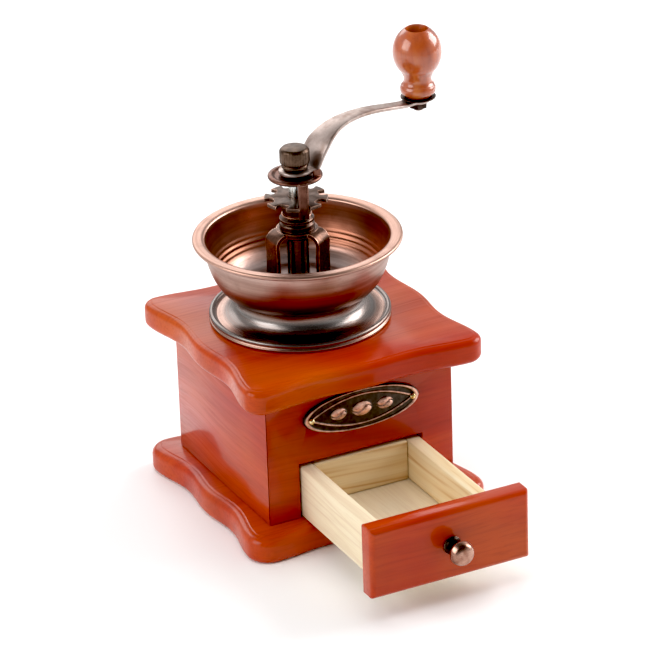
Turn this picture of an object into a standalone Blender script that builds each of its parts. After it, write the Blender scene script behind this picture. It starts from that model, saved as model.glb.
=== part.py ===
"""A hand-cranked table coffee mill, built from its separate pieces.

The origin is on the spindle's axis, level with the base's underside. +Z is up and the drawer opens
towards -Y.
Every size below is in metres, written as millimetres times MM.
"""
from math import cos, exp, pi, radians, sin, sqrt, tau

import bmesh
import bpy
from mathutils import Matrix, Vector
from mathutils.geometry import interpolate_bezier

MM = 0.001
GAP = 0.3 * MM              # room left between two pieces that touch
CLEAR = 1 * MM              # how far a cutter reaches past the faces it cuts

# Wooden box
BOX_MIDDLE = Vector((2.7 * MM, -5 * MM, 0))     # the mill stands a little behind the middle of the box
BOX_SIDE = 92 * MM          # outer width and depth of the four walls
WALL = 8 * MM
BOARD = 12 * MM             # thickness of the base and of the top board
BOX_HEIGHT = 60 * MM        # between the two boards
BASE_HALF = 58.5 * MM       # centre to the outermost edge of the base
TOP_HALF = 58 * MM
BASE_CORNER = 10 * MM       # corner radii in plan
TOP_CORNER = 8 * MM
SIDE_DIP = 4 * MM           # how far the wavy left and right edges dip inwards
FRONT_DIP = 2.5 * MM
BASE_TOP = BOARD
WALL_TOP = BASE_TOP + BOX_HEIGHT
TOP_TOP = WALL_TOP + BOARD
HALF_BOX = BOX_SIDE / 2
HALF_ROOM = HALF_BOX - WALL
OPENING_WIDTH = 61.4 * MM   # the drawer's opening in the front wall
OPENING_TOP = BASE_TOP + 26.6 * MM
GUIDE_TOP = BASE_TOP + 10 * MM      # the strips that guide the drawer

# Screws that hold the side walls to the base
BASE_SCREWS = [(x * (HALF_BOX - WALL / 2), y * 28 * MM) for x in (-1, 1) for y in (-1, 1)]
SCREW_RADIUS = 1.6 * MM
SCREW_HEAD = 3.4 * MM
SCREW_SINK = 1 * MM         # how far a head lies above the base's underside
SCREW_NECK = SCREW_SINK + 2 * MM
SCREW_TIP = BASE_TOP + 16 * MM

# Drawer
DRAWER_WIDTH = 59.4 * MM
DRAWER_LENGTH = 80 * MM     # sides, behind the front panel
DRAWER_HEIGHT = 24 * MM
DRAWER_WALL = 6.5 * MM
DRAWER_FLOOR = 2.5 * MM
FLOOR_HEIGHT = 2 * MM       # floor above the sides' lower edges
GROOVE = 3 * MM
DRAWER_LIFT = 0.6 * MM      # runs this far above the base
DRAWER_OPEN = 74 * MM       # how far it is pulled out here
PANEL_SIZE = (77 * MM, 9 * MM, 33 * MM)
DRAWER_FACE = -HALF_BOX - GAP - DRAWER_OPEN     # the panel's back
DRAWER_FRONT = DRAWER_FACE + GAP                # where the sides begin
DRAWER_BACK = DRAWER_FRONT + DRAWER_LENGTH
DRAWER_LOW = BASE_TOP + DRAWER_LIFT
DRAWER_HIGH = DRAWER_LOW + DRAWER_HEIGHT
PULL_HEIGHT = DRAWER_LOW + PANEL_SIZE[2] / 2
PULL_PIN = 2 * MM
PULL_LENGTH = 12.6 * MM

# Badge on the front wall
BADGE_HALF = (28.5 * MM, 9.6 * MM)
BADGE_HEIGHT = 59.3 * MM
BADGE_THICK = 1.6 * MM
BADGE_RELIEF = 0.7 * MM     # how far its border stands out
NAIL_OFFSET = 25 * MM
NAIL_RADIUS = 0.6 * MM

# Hopper: a flared foot ring with a bowl above it
FOOT_RADIUS = 40.8 * MM
FOOT_TOP = 95.7 * MM
FOOT_SHEET = 1.3 * MM
BOWL_RADIUS = 46.8 * MM
BOWL_TOP = 123.5 * MM
BOWL_MOUTH = 41.3 * MM
BOWL_FLOOR = 96 * MM
BOWL_SHEET = 1.5 * MM
WAIST = 27.5 * MM           # radius where the bowl stands on its foot
THROAT = 13.5 * MM          # radius of the hole that the beans drop through
HOPPER_STEPS = 40           # facets round the bowl and its foot

# Mill and spindle, all on the vertical axis through the origin
BOLT_CIRCLE = 17.8 * MM
BOLT_RADIUS = 1.5 * MM
BOLT_HEAD = 2.5 * MM
NUT_THICK = 2.4 * MM
ARM_ANGLES = [radians(a) for a in (64, 184, 304)]
COLLAR_RADIUS = 20.5 * MM
BURR_TOP = BOWL_FLOOR - 2.1 * MM
BURR_BOTTOM = 76 * MM
CONE_TOP = 92 * MM
CONE_BOTTOM = 75.5 * MM
BURR_TEETH = 20
BEARING_THICK = 2.5 * MM
BEARING_TOP = WALL_TOP - GAP
BEARING_LOW = BEARING_TOP - BEARING_THICK
SPINDLE_RADIUS = 3.8 * MM
SPINDLE_NECK = 3.1 * MM     # above the bracket
BRACKET_TOP = 126.7 * MM
BRACKET_SHEET = 1.8 * MM
BRACKET_REACH = 13.8 * MM   # axis to the outer face of a leg
BRACKET_LEG = 9.6 * MM      # width of a leg
LEG_FOOT = BOWL_FLOOR + BOWL_SHEET + GAP
BUSH_TOP = 133 * MM
BUSH_RADIUS = 7.9 * MM
BUSH_SLEEVE = 5.4 * MM      # radius where it passes through the bracket
TOOTHED_TOP = 141.6 * MM
TOOTHED_RADIUS = 14.2 * MM
NOTCHES = 8
LOCK_ANGLE = radians(-100)   # plan direction of the notch that holds the lock tab
LOCK_HEIGHT = 151.1 * MM
LOCK_RADIUS = 12.2 * MM
LOCK_SHEET = 1.6 * MM
GAP_TRAVEL = 1 * MM         # how far the spindle is lifted to grind finer

# Crank
CRANK_ANGLE = radians(12.7)
CRANK_LENGTH = 72 * MM
ARM_SHEET = 1.8 * MM
ARM_BOTTOM = 153.3 * MM
KNOB_END_RISE = 13.2 * MM   # the knob end's height above the hub end
NUT_RADIUS = 6.7 * MM
NUT_TOP = 165.1 * MM
KNOB_BOTTOM = 169.5 * MM
KNOB_RADIUS = 11.1 * MM
KNOB_WAIST = 6.1 * MM
KNOB_TOP = 201.4 * MM
BALL_HALF = 12.4 * MM       # half the height of the oval that the ball is part of
COUNTERBORE = 5 * MM
KNOB_PIN = 2.3 * MM
HEAD_SEAT = KNOB_TOP - 7 * MM

RED_WOOD = ("red_wood", (0.55, 0.10, 0.025), 0.22, 0.0)
PALE_WOOD = ("pale_wood", (0.80, 0.66, 0.44), 0.60, 0.0)
KNOB_WOOD = ("knob_wood", (0.50, 0.16, 0.06), 0.25, 0.0)
COPPER = ("copper", (0.62, 0.33, 0.23), 0.30, 1.0)
DARK_COPPER = ("dark_copper", (0.20, 0.12, 0.09), 0.40, 1.0)
STEEL = ("steel", (0.66, 0.66, 0.64), 0.25, 1.0)
IRON = ("iron", (0.22, 0.22, 0.22), 0.55, 1.0)
BRASS = ("brass", (0.80, 0.62, 0.30), 0.28, 1.0)


# ---------------------------------------------------------------- outlines

def arc(centre, radius, start, end, steps):
    """Points along an arc, in degrees; radius may be a pair for an ellipse."""
    rx, ry = radius if isinstance(radius, tuple) else (radius, radius)
    angles = [radians(start + (end - start) * i / steps) for i in range(steps + 1)]
    return [(centre[0] + rx * cos(a), centre[1] + ry * sin(a)) for a in angles]


def curve(start, lead_out, lead_in, end, steps):
    """Points along one cubic curve."""
    points = [Vector((x, y, 0)) for x, y in (start, lead_out, lead_in, end)]
    return [(p.x, p.y) for p in interpolate_bezier(*points, steps + 1)]


def oval(half_width, half_height, steps):
    """A closed ellipse."""
    return arc((0, 0), (half_width, half_height), 0, 360, steps)[:-1]


def wavy_square(half, corner, steps=8):
    """A square with round corners whose sides dip twice and swell at their middle."""
    reach = half - corner
    points = []
    for side in range(4):
        dip = FRONT_DIP if side % 2 == 0 else SIDE_DIP
        turn = Matrix.Rotation(side * pi / 2, 2)
        edge = []
        for i in range(1, steps):
            along = 2 * i / steps - 1
            inwards = 0.75 * dip * sin(pi * along) ** 2 + 0.5 * dip * cos(pi * along / 2) ** 2
            edge.append((along * reach, inwards - half))
        edge += arc((reach, -reach), corner, -90, 0, 4)
        points += [tuple(turn @ Vector(p)) for p in edge]
    return points


# ---------------------------------------------------------------- solids

def finish_mesh(mesh):
    """Close what an operator left open and point every face outwards."""
    bmesh.ops.remove_doubles(mesh, verts=mesh.verts, dist=0.001 * MM)
    bmesh.ops.recalc_face_normals(mesh, faces=mesh.faces)
    return mesh


def prism(outline, low, high):
    """An outline in plan, raised from one height to another."""
    mesh = bmesh.new()
    face = mesh.faces.new([mesh.verts.new((x, y, low)) for x, y in outline])
    made = bmesh.ops.extrude_face_region(mesh, geom=[face])
    top = [v for v in made["geom"] if isinstance(v, bmesh.types.BMVert)]
    bmesh.ops.translate(mesh, verts=top, vec=(0, 0, high - low))
    return finish_mesh(mesh)


def upright_prism(outline, front, back):
    """An outline seen from the front, as (x, z), carried back along +Y."""
    mesh = prism(outline, -back, -front)
    bmesh.ops.rotate(mesh, verts=mesh.verts, cent=(0, 0, 0), matrix=Matrix.Rotation(pi / 2, 3, "X"))
    return mesh


def block(low, high):
    """A box between two corners."""
    return prism([(low[0], low[1]), (high[0], low[1]), (high[0], high[1]), (low[0], high[1])],
                 low[2], high[2])


def turned(profile, steps=48, closed=False):
    """A profile of (radius, height) points, from the top down, spun about +Z.

    An open profile starts and ends on the axis; a closed one goes round a ring.
    """
    mesh = bmesh.new()
    points = [mesh.verts.new((radius, 0, height)) for radius, height in profile]
    pairs = list(zip(points, points[1:]))
    if closed:
        pairs.append((points[-1], points[0]))
    edges = [mesh.edges.new(pair) for pair in pairs]
    bmesh.ops.spin(mesh, geom=points + edges, axis=(0, 0, 1), cent=(0, 0, 0),
                   angle=tau, steps=steps, use_merge=True)
    return finish_mesh(mesh)


def rod(radius, low, high, steps=20):
    """A plain round bar."""
    return turned([(0, high), (radius, high), (radius, low), (0, low)], steps)


def ring(outer, inner, low, high, steps=20):
    """A washer or a tube."""
    return turned([(outer, high), (outer, low), (inner, low), (inner, high)], steps, closed=True)


def strip(path, half_width, thick):
    """A bent sheet: a path of (x, z) points, half_width either side of the XZ plane."""
    mesh = bmesh.new()
    rows = []
    for i, here in enumerate(path):
        before = Vector(path[max(i - 1, 0)])
        after = Vector(path[min(i + 1, len(path) - 1)])
        along = (after - before).normalized()
        off = Vector((-along.y, along.x)) * thick / 2
        width = half_width(i) if callable(half_width) else half_width
        corners = [(off, -width), (off, width), (-off, width), (-off, -width)]
        rows.append([mesh.verts.new((here[0] + side.x, y, here[1] + side.y)) for side, y in corners])
    for first, second in zip(rows, rows[1:]):
        for k in range(4):
            mesh.faces.new((first[k], first[(k + 1) % 4], second[(k + 1) % 4], second[k]))
    mesh.faces.new(rows[0])
    mesh.faces.new(rows[-1])
    return finish_mesh(mesh)


def moved(mesh, offset=(0, 0, 0), angle=0):
    """Turn a mesh about +Z, then shift it."""
    bmesh.ops.rotate(mesh, verts=mesh.verts, cent=(0, 0, 0), matrix=Matrix.Rotation(angle, 3, "Z"))
    bmesh.ops.translate(mesh, verts=mesh.verts, vec=offset)
    return mesh


# ---------------------------------------------------------------- objects

def surface(kind):
    """One material for one part."""
    name, colour, roughness, metallic = kind
    made = bpy.data.materials.new(name)
    made.use_nodes = True
    shader = made.node_tree.nodes["Principled BSDF"]
    shader.inputs["Base Color"].default_value = (*colour, 1)
    shader.inputs["Roughness"].default_value = roughness
    shader.inputs["Metallic"].default_value = metallic
    return made


def add_part(name, mesh, kind, parent=None, smooth=True):
    """Turn a mesh made in world coordinates into a named object, held by an optional empty."""
    data = bpy.data.meshes.new(name)
    if parent:
        bmesh.ops.translate(mesh, verts=mesh.verts, vec=-parent.matrix_world.translation)
    mesh.to_mesh(data)
    mesh.free()
    data.materials.append(surface(kind))
    if smooth:
        data.shade_smooth()
        data.set_sharp_from_angle(angle=radians(35))
    part = bpy.data.objects.new(name, data)
    bpy.context.collection.objects.link(part)
    part.parent = parent
    return part


def add_axis(name, place, parent=None):
    """An empty at a place, such as on a joint's axis."""
    empty = bpy.data.objects.new(name, None)
    bpy.context.collection.objects.link(empty)
    empty.location = place
    empty.parent = parent
    bpy.context.view_layer.update()
    return empty


def combine(part, mesh, operation):
    """Cut a mesh from a part, or join it on."""
    tool = add_part(part.name + "_" + operation.lower(), mesh, STEEL, part.parent, smooth=False)
    tool.hide_render = True
    tool.display_type = "WIRE"
    step = part.modifiers.new(tool.name, "BOOLEAN")
    step.operation = operation
    step.solver = "EXACT"
    step.object = tool


def cut(part, mesh):
    """Remove a mesh's volume from a part."""
    combine(part, mesh, "DIFFERENCE")


def join(part, mesh):
    """Add a mesh's volume to a part."""
    combine(part, mesh, "UNION")


def round_edges(part, width, steps, angle=40):
    """Round the sharp edges."""
    bevel = part.modifiers.new("edge_rounding", "BEVEL")
    bevel.width = width
    bevel.segments = steps
    bevel.limit_method = "ANGLE"
    bevel.angle_limit = radians(angle)


def add_nut(name, kind, radius, hole, high, place, parent=None):
    """A hexagon nut whose top face is at a given height."""
    low = high - NUT_THICK
    hexagon = arc((0, 0), radius, 0, 360, 6)[:-1]
    nut = add_part(name, moved(prism(hexagon, low, high), place), kind, parent, smooth=False)
    cut(nut, moved(rod(hole, low - 1 * MM, high + 1 * MM, 16), place))


def on_circle(radius, angle, height=0):
    """A point on a circle about the mill's axis."""
    return Vector((radius * cos(angle), radius * sin(angle), height))


# ---------------------------------------------------------------- wooden box

def screw_hole(place, top):
    """A countersunk hole from below."""
    head = SCREW_HEAD + GAP
    shank = SCREW_RADIUS + GAP
    profile = [(0, top), (shank, top), (shank, SCREW_NECK), (head, SCREW_SINK - GAP), (head, -CLEAR),
               (0, -CLEAR)]
    return moved(turned(profile, 16), (*place, 0))


def make_base(box):
    """The lower board, drilled for the screws that hold the walls."""
    base = add_part("base_board", prism(wavy_square(BASE_HALF, BASE_CORNER), 0, BOARD), RED_WOOD, box)
    round_edges(base, 3.6 * MM, 2)
    for place in BASE_SCREWS:
        cut(base, screw_hole(place, BOARD + CLEAR))


def make_top(box):
    """The upper board, with a hole for the mill's collar."""
    slab = prism(wavy_square(TOP_HALF, TOP_CORNER), WALL_TOP, TOP_TOP)
    top = add_part("top_board", slab, RED_WOOD, box)
    round_edges(top, 3 * MM, 2)
    hole = rod(COLLAR_RADIUS + 2 * GAP, WALL_TOP - CLEAR, TOP_TOP + CLEAR, 40)
    cut(top, moved(hole, -BOX_MIDDLE))


def make_walls(box):
    """Four walls whose ends are mitred; the front one has the drawer's opening."""
    low = BASE_TOP + GAP
    high = WALL_TOP - GAP
    slit = GAP / sqrt(2)
    outer = HALF_BOX - slit
    inner = HALF_ROOM - slit
    plan = [(-outer, -HALF_BOX), (outer, -HALF_BOX), (inner, -HALF_ROOM), (-inner, -HALF_ROOM)]
    walls = {}
    for quarter, name in enumerate(("front_wall", "right_wall", "back_wall", "left_wall")):
        board = moved(prism(plan, low, high), angle=quarter * pi / 2)
        walls[name] = add_part(name, board, RED_WOOD, box, smooth=False)
    half = OPENING_WIDTH / 2
    opening = block((-half, -HALF_BOX - CLEAR, low - CLEAR), (half, -HALF_ROOM + CLEAR, OPENING_TOP))
    cut(walls["front_wall"], opening)
    for side in (-1, 1):
        cut(walls["front_wall"], badge_nail_hole(side))
    for place in BASE_SCREWS:
        hole = rod(SCREW_RADIUS + GAP, BASE_TOP - CLEAR, SCREW_TIP + GAP, 16)
        wall = walls["left_wall"] if place[0] < 0 else walls["right_wall"]
        cut(wall, moved(hole, (*place, 0)))


def make_base_screws(box):
    """Four countersunk wood screws, driven up into the side walls."""
    point = [(0, SCREW_TIP), (SCREW_RADIUS / 2, SCREW_TIP - 1 * MM), (SCREW_RADIUS, SCREW_TIP - 4 * MM)]
    profile = point + [(SCREW_RADIUS, SCREW_NECK), (SCREW_HEAD, SCREW_SINK), (0, SCREW_SINK)]
    for number, place in enumerate(BASE_SCREWS, 1):
        screw = add_part(f"base_screw_{number}", turned(profile, 12), STEEL, box)
        screw.location = (*place, 0)


def make_guides(box):
    """Strips beside the drawer, flush with its opening."""
    for name, side in (("drawer_guide_left", -1), ("drawer_guide_right", 1)):
        depth = HALF_ROOM - GAP
        near, far = sorted((side * OPENING_WIDTH / 2, side * depth))
        batten = block((near, -depth, BASE_TOP + GAP), (far, depth, GUIDE_TOP))
        add_part(name, batten, PALE_WOOD, box, smooth=False)


# ---------------------------------------------------------------- badge

def across_front(mesh, place, height):
    """Lay a piece that was made along +Z so that it points out of the front wall."""
    bmesh.ops.rotate(mesh, verts=mesh.verts, cent=(0, 0, 0), matrix=Matrix.Rotation(pi / 2, 3, "X"))
    bmesh.ops.translate(mesh, verts=mesh.verts, vec=(place, -HALF_BOX, height))
    return mesh


def badge_nail_hole(side):
    """A cutter that drills the plate and the wall behind it."""
    return across_front(rod(NAIL_RADIUS + GAP, -7 * MM, 4 * MM, 10), side * NAIL_OFFSET, BADGE_HEIGHT)


def make_badge(box):
    """An oval plate with a pointed raised border and a coffee bean between its nails."""
    plate = prism(oval(*BADGE_HALF, 40), GAP, GAP + BADGE_THICK)
    badge = add_part("badge", across_front(plate, 0, BADGE_HEIGHT), DARK_COPPER, box)
    half_width = BADGE_HALF[0] - 1.2 * MM
    half_height = BADGE_HALF[1] - 1.6 * MM
    border_top = GAP + BADGE_THICK + BADGE_RELIEF
    lead = half_height * 4 / 3
    upper = curve((-half_width, 0), (-half_width / 2, lead), (half_width / 2, lead), (half_width, 0), 14)
    lower = [(-x, -y) for x, y in upper[1:-1]]
    border = prism(upper + lower, GAP + BADGE_THICK / 2, border_top)
    join(badge, across_front(border, 0, BADGE_HEIGHT))
    inner = [(x * 0.88, y * 0.80) for x, y in upper + lower]
    field = prism(inner, GAP + BADGE_THICK, border_top + CLEAR)
    cut(badge, across_front(field, 0, BADGE_HEIGHT))
    bean = prism(oval(5.4 * MM, 3.4 * MM, 16), GAP + BADGE_THICK / 2, GAP + BADGE_THICK + 0.5 * MM)
    join(badge, across_front(bean, 0, BADGE_HEIGHT))
    for side in (-1, 1):
        cut(badge, badge_nail_hole(side))


def make_badge_nails(box):
    """Two round-headed nails through the plate's ends."""
    head = GAP + BADGE_THICK + BADGE_RELIEF + GAP
    dome = [(0, head + 0.9 * MM), (0.9 * MM, head + 0.65 * MM), (1.4 * MM, head)]
    profile = dome + [(NAIL_RADIUS, head), (NAIL_RADIUS, -5 * MM), (0, -6 * MM)]
    for name, side in (("badge_nail_left", -1), ("badge_nail_right", 1)):
        nail = across_front(turned(profile, 10), side * NAIL_OFFSET, BADGE_HEIGHT)
        add_part(name, nail, BRASS, box)


# ---------------------------------------------------------------- hopper

def bolt_hole(angle, low, high):
    """A cutter for one of the mill's bolts."""
    return moved(rod(BOLT_RADIUS + GAP, low, high, 14), on_circle(BOLT_CIRCLE, angle))


def make_hopper_foot():
    """The flared ring on the top board, with a rolled rim."""
    low = TOP_TOP + GAP
    rim = low + 4 * MM
    sheet = FOOT_SHEET
    dip = (FOOT_RADIUS - 3.6 * MM, low + 2.4 * MM)
    outside = curve((WAIST, FOOT_TOP), (WAIST - 0.4 * MM, FOOT_TOP - 5 * MM),
                    (WAIST + 2 * MM, dip[1] + 0.4 * MM), dip, 6)
    bead = 1.2 * MM
    lip = arc((FOOT_RADIUS - bead, rim - bead), bead, 150, 0, 3) + [(FOOT_RADIUS, low)]
    inner = FOOT_RADIUS - sheet
    inside = [(inner, low), (inner, rim - 2.2 * MM), (dip[0] + 0.8 * MM, dip[1] - sheet)]
    sunk = sheet * 3 / 4
    under = [(r - sunk, z - sunk) for r, z in reversed(outside[1:])]
    mouth = THROAT + 1 * MM
    top = [(WAIST - sheet, FOOT_TOP - sheet), (mouth, FOOT_TOP - sheet), (mouth, FOOT_TOP)]
    profile = outside + lip + inside + under + top
    foot = add_part("hopper_foot", turned(profile, HOPPER_STEPS, closed=True), COPPER)
    for angle in ARM_ANGLES:
        cut(foot, bolt_hole(angle, FOOT_TOP - 4 * MM, FOOT_TOP + CLEAR))


def make_bowl():
    """The open bowl that holds the beans, with a flat rolled rim."""
    sheet = BOWL_SHEET
    rim_low = BOWL_TOP - 2 * MM
    outside = curve((BOWL_MOUTH + 1 * MM, rim_low), (41 * MM, 112.5 * MM), (38 * MM, 98.5 * MM),
                    (WAIST, BOWL_FLOOR), 8)
    rim = arc((BOWL_RADIUS - 1 * MM, BOWL_TOP - 1 * MM), 1 * MM, 90, -90, 2)
    inside = curve((BOWL_MOUTH, BOWL_TOP), (39.6 * MM, 113.5 * MM), (36.5 * MM, 100 * MM),
                   (WAIST - 1.5 * MM, BOWL_FLOOR + sheet), 8)
    floor = [(THROAT, BOWL_FLOOR), (THROAT, BOWL_FLOOR + sheet)]
    profile = rim + outside + floor + list(reversed(inside))
    bowl = add_part("hopper_bowl", turned(profile, HOPPER_STEPS, closed=True), COPPER)
    for angle in ARM_ANGLES:
        cut(bowl, bolt_hole(angle, BOWL_FLOOR - CLEAR, BOWL_FLOOR + 4 * MM))


# ---------------------------------------------------------------- mill

def tooth_wave(angle, twist):
    """1 on a tooth's crest and 0 in the groove beside it."""
    return 0.5 + 0.5 * cos(BURR_TEETH * angle + twist)


def make_outer_burr():
    """The fixed ring: a collar in the board's hole, with a toothed bore."""
    bore = [(12.4 * MM, BURR_TOP), (12.0 * MM, 86 * MM), (12.6 * MM, 82 * MM), (15.0 * MM, BURR_BOTTOM)]
    profile = [(COLLAR_RADIUS, BURR_TOP), (COLLAR_RADIUS, BURR_BOTTOM)] + list(reversed(bore))
    mesh = turned(profile, 2 * BURR_TEETH, closed=True)
    for point in mesh.verts:
        flat = Vector((point.co.x, point.co.y))
        if flat.length < BOLT_CIRCLE - 2 * MM:
            angle = flat.angle_signed(Vector((1, 0)))
            scale = 1 + 0.07 * tooth_wave(angle, 60 * (BURR_TOP - point.co.z))
            point.co.x *= scale
            point.co.y *= scale
    burr = add_part("outer_burr", mesh, IRON)
    for angle in ARM_ANGLES:
        cut(burr, bolt_hole(angle, BURR_BOTTOM - CLEAR, BURR_TOP + CLEAR))


def make_bearing_spider():
    """A three-armed plate under the top board that clamps the mill and guides the spindle."""
    hub = prism(oval(8 * MM, 8 * MM, 24), BEARING_LOW, BEARING_TOP)
    spider = add_part("bearing_spider", hub, IRON)
    reach = COLLAR_RADIUS + 9 * MM
    half = 4.2 * MM
    start = 3 * MM
    bar = [(start, -half)] + arc((reach, 0), half, -90, 90, 6) + [(start, half)]
    for angle in ARM_ANGLES:
        join(spider, moved(prism(bar, BEARING_LOW, BEARING_TOP), angle=angle))
    cut(spider, rod(SPINDLE_RADIUS + GAP, BEARING_LOW - CLEAR, BEARING_TOP + CLEAR, 16))
    for angle in ARM_ANGLES:
        cut(spider, bolt_hole(angle, BEARING_LOW - CLEAR, BEARING_TOP + CLEAR))


def make_mill_bolts():
    """Long bolts through bracket, bowl, foot, burr and spider, each with a hexagon nut."""
    head_low = LEG_FOOT + BRACKET_SHEET + GAP
    nut_high = BEARING_LOW - GAP
    tip = nut_high - NUT_THICK - 1 * MM
    head = [(0, head_low + 1.9 * MM), (1.6 * MM, head_low + 1.8 * MM), (BOLT_HEAD, head_low + 0.8 * MM),
            (BOLT_HEAD, head_low)]
    bolt = head + [(BOLT_RADIUS, head_low), (BOLT_RADIUS, tip), (0, tip)]
    for number, angle in enumerate(ARM_ANGLES, 1):
        place = on_circle(BOLT_CIRCLE, angle)
        add_part(f"mill_bolt_{number}", moved(turned(bolt, 12), place), DARK_COPPER)
        add_nut(f"mill_nut_{number}", STEEL, 3.1 * MM, BOLT_RADIUS + GAP, nut_high, place)


def make_bracket():
    """A plate held above the bowl's floor on three bent legs."""
    sheet = BRACKET_SHEET
    low = BRACKET_TOP - sheet
    plate = prism(oval(9.4 * MM, 9.4 * MM, 24), low, BRACKET_TOP)
    bracket = add_part("spindle_bracket", plate, DARK_COPPER)
    middle = BRACKET_TOP - sheet / 2
    bend = 1.9 * MM
    face = BRACKET_REACH - sheet / 2
    splayed = face + 0.7 * MM
    foot = LEG_FOOT + sheet / 2
    shoulder = middle - 4.6 * MM
    bent = curve((8.6 * MM, middle), (face - 2.6 * MM, middle), (face, middle - 1.8 * MM), (face, shoulder), 5)
    leg = curve((face, shoulder), (face - 0.8 * MM, 112 * MM), (face, 104 * MM), (splayed, foot + bend), 5)
    path = [(6 * MM, middle)] + bent + leg[1:]
    path += arc((splayed + bend, foot + bend), bend, 180, 270, 3)[1:] + [(BOLT_CIRCLE + 3.2 * MM, foot)]
    for angle in ARM_ANGLES:
        join(bracket, moved(strip(path, BRACKET_LEG / 2, sheet), angle=angle))
    cut(bracket, rod(BUSH_SLEEVE + GAP, low - CLEAR, BRACKET_TOP + CLEAR, 24))
    for angle in ARM_ANGLES:
        cut(bracket, bolt_hole(angle, LEG_FOOT - CLEAR, LEG_FOOT + 2 * sheet))


def make_bush():
    """The flanged bush in the bracket that the spindle turns in."""
    flange = BRACKET_TOP + GAP
    low = flange - 5 * MM
    bore = SPINDLE_RADIUS + GAP
    profile = [(BUSH_RADIUS - 1.5 * MM, BUSH_TOP), (BUSH_RADIUS, BUSH_TOP - 1.2 * MM), (BUSH_RADIUS, flange),
               (BUSH_SLEEVE, flange), (BUSH_SLEEVE, low), (bore, low), (bore, BUSH_TOP)]
    add_part("spindle_bush", turned(profile, 20, closed=True), DARK_COPPER)


# ---------------------------------------------------------------- adjusting nut

def make_adjusting_nut(axis):
    """A hexagon nut under a notched disc, threaded on the spindle."""
    low = BUSH_TOP + 1.2 * MM
    disc_low = TOOTHED_TOP - 1.6 * MM
    disc = add_part("adjusting_nut", rod(TOOTHED_RADIUS, disc_low, TOOTHED_TOP, 54), DARK_COPPER, axis)
    join(disc, ring(7.2 * MM, SPINDLE_NECK, disc_low - 2.4 * MM, disc_low + 0.5 * MM, 6))
    join(disc, rod(6.4 * MM, low, disc_low - 2 * MM, 24))
    cut(disc, rod(SPINDLE_NECK + GAP, low - CLEAR, TOOTHED_TOP + CLEAR, 16))
    floor = 10.3 * MM
    half = 2.6 * MM
    corner = 0.9 * MM
    past = TOOTHED_RADIUS + 5 * MM
    notch = [(floor + corner, -half), (past, -half), (past, half), (floor + corner, half),
             (floor, half - corner), (floor, corner - half)]
    for k in range(NOTCHES):
        cutter = prism(notch, disc_low - CLEAR, TOOTHED_TOP + CLEAR)
        cut(disc, moved(cutter, angle=LOCK_ANGLE + k * tau / NOTCHES))
    washer = ring(6.8 * MM, SPINDLE_NECK + GAP, BUSH_TOP + GAP, low - GAP, 24)
    add_part("thrust_washer", washer, COPPER, axis)


# ---------------------------------------------------------------- spindle and crank

def make_spindle(axis):
    """The shaft: thick in the bearings, slimmer through the nut and the crank."""
    step = BUSH_TOP + 0.2 * MM - GAP_TRAVEL
    tip = NUT_TOP - 4 * MM
    low = BEARING_LOW - 6 * MM
    thin = SPINDLE_NECK
    profile = [(0, tip), (thin - 0.4 * MM, tip), (thin, tip - 0.4 * MM), (thin, step), (SPINDLE_RADIUS, step),
               (SPINDLE_RADIUS, low + 0.5 * MM), (SPINDLE_RADIUS - 0.5 * MM, low), (0, low)]
    add_part("spindle", turned(profile, 16), STEEL, axis)


def make_inner_burr(axis):
    """The turning cone, pressed on the spindle: coarse ridges above, fine ones below."""
    bore = SPINDLE_RADIUS + GAP
    profile = [(bore, CONE_TOP), (6.6 * MM, CONE_TOP), (8.4 * MM, 88 * MM), (10.2 * MM, 83.5 * MM),
               (12.2 * MM, 79 * MM), (13.6 * MM, CONE_BOTTOM + 0.6 * MM), (13.2 * MM, CONE_BOTTOM),
               (bore, CONE_BOTTOM)]
    mesh = turned(profile, 2 * BURR_TEETH, closed=True)
    for point in mesh.verts:
        flat = Vector((point.co.x, point.co.y))
        if flat.length > bore + 1 * MM:
            angle = flat.angle_signed(Vector((1, 0)))
            scale = 1 - 0.09 * tooth_wave(angle, 90 * (CONE_TOP - point.co.z))
            point.co.x *= scale
            point.co.y *= scale
    add_part("inner_burr", mesh, IRON, axis)


def make_lock_plate(axis):
    """A dished washer whose tab drops into a notch and whose two ears hold the crank arm."""
    low = LOCK_HEIGHT
    high = low + LOCK_SHEET
    dish = high - 0.5 * MM
    bore = SPINDLE_NECK + GAP
    rim = [(LOCK_RADIUS - 0.7 * MM, high), (LOCK_RADIUS, high - 0.7 * MM), (LOCK_RADIUS, low + 0.5 * MM),
           (LOCK_RADIUS - 0.5 * MM, low)]
    hole = [(bore, low), (bore, dish), (LOCK_RADIUS - 1.9 * MM, dish)]
    plate = add_part("lock_plate", turned(rim + hole, 28, closed=True), DARK_COPPER, axis)
    half = 2.3 * MM
    tab_low = TOOTHED_TOP - 6.4 * MM
    tab_back = LOCK_RADIUS - 1.3 * MM
    tab_face = LOCK_RADIUS + 0.4 * MM
    tab = block((tab_back, -half, tab_low), (tab_face, half, low + 1 * MM))
    join(plate, moved(tab, angle=LOCK_ANGLE))
    for side in (-1, 1):
        ear_inner, ear_outer = sorted((side * 7.9 * MM, side * 9.3 * MM))
        ear = block((3.4 * MM, ear_inner, low + 0.6 * MM), (7.2 * MM, ear_outer, ARM_BOTTOM + 2.2 * MM))
        join(plate, moved(ear, angle=CRANK_ANGLE))


def arm_half_width(radius):
    """The arm narrows from its bend to the knob, and both its ends are round."""
    body = 3.2 * MM + 4.1 * MM * exp(-max(radius - 14 * MM, 0) / (13 * MM))
    hub = 7.3 * MM
    if radius < 0:
        return max(hub ** 2 - radius ** 2, 0) ** 0.5
    pad = 5.2 * MM
    from_knob = radius - CRANK_LENGTH
    if from_knob > -pad * 0.95:
        round_end = max(pad ** 2 - from_knob ** 2, 0) ** 0.5
        return round_end if from_knob > 0 else max(round_end, body)
    return body


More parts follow.
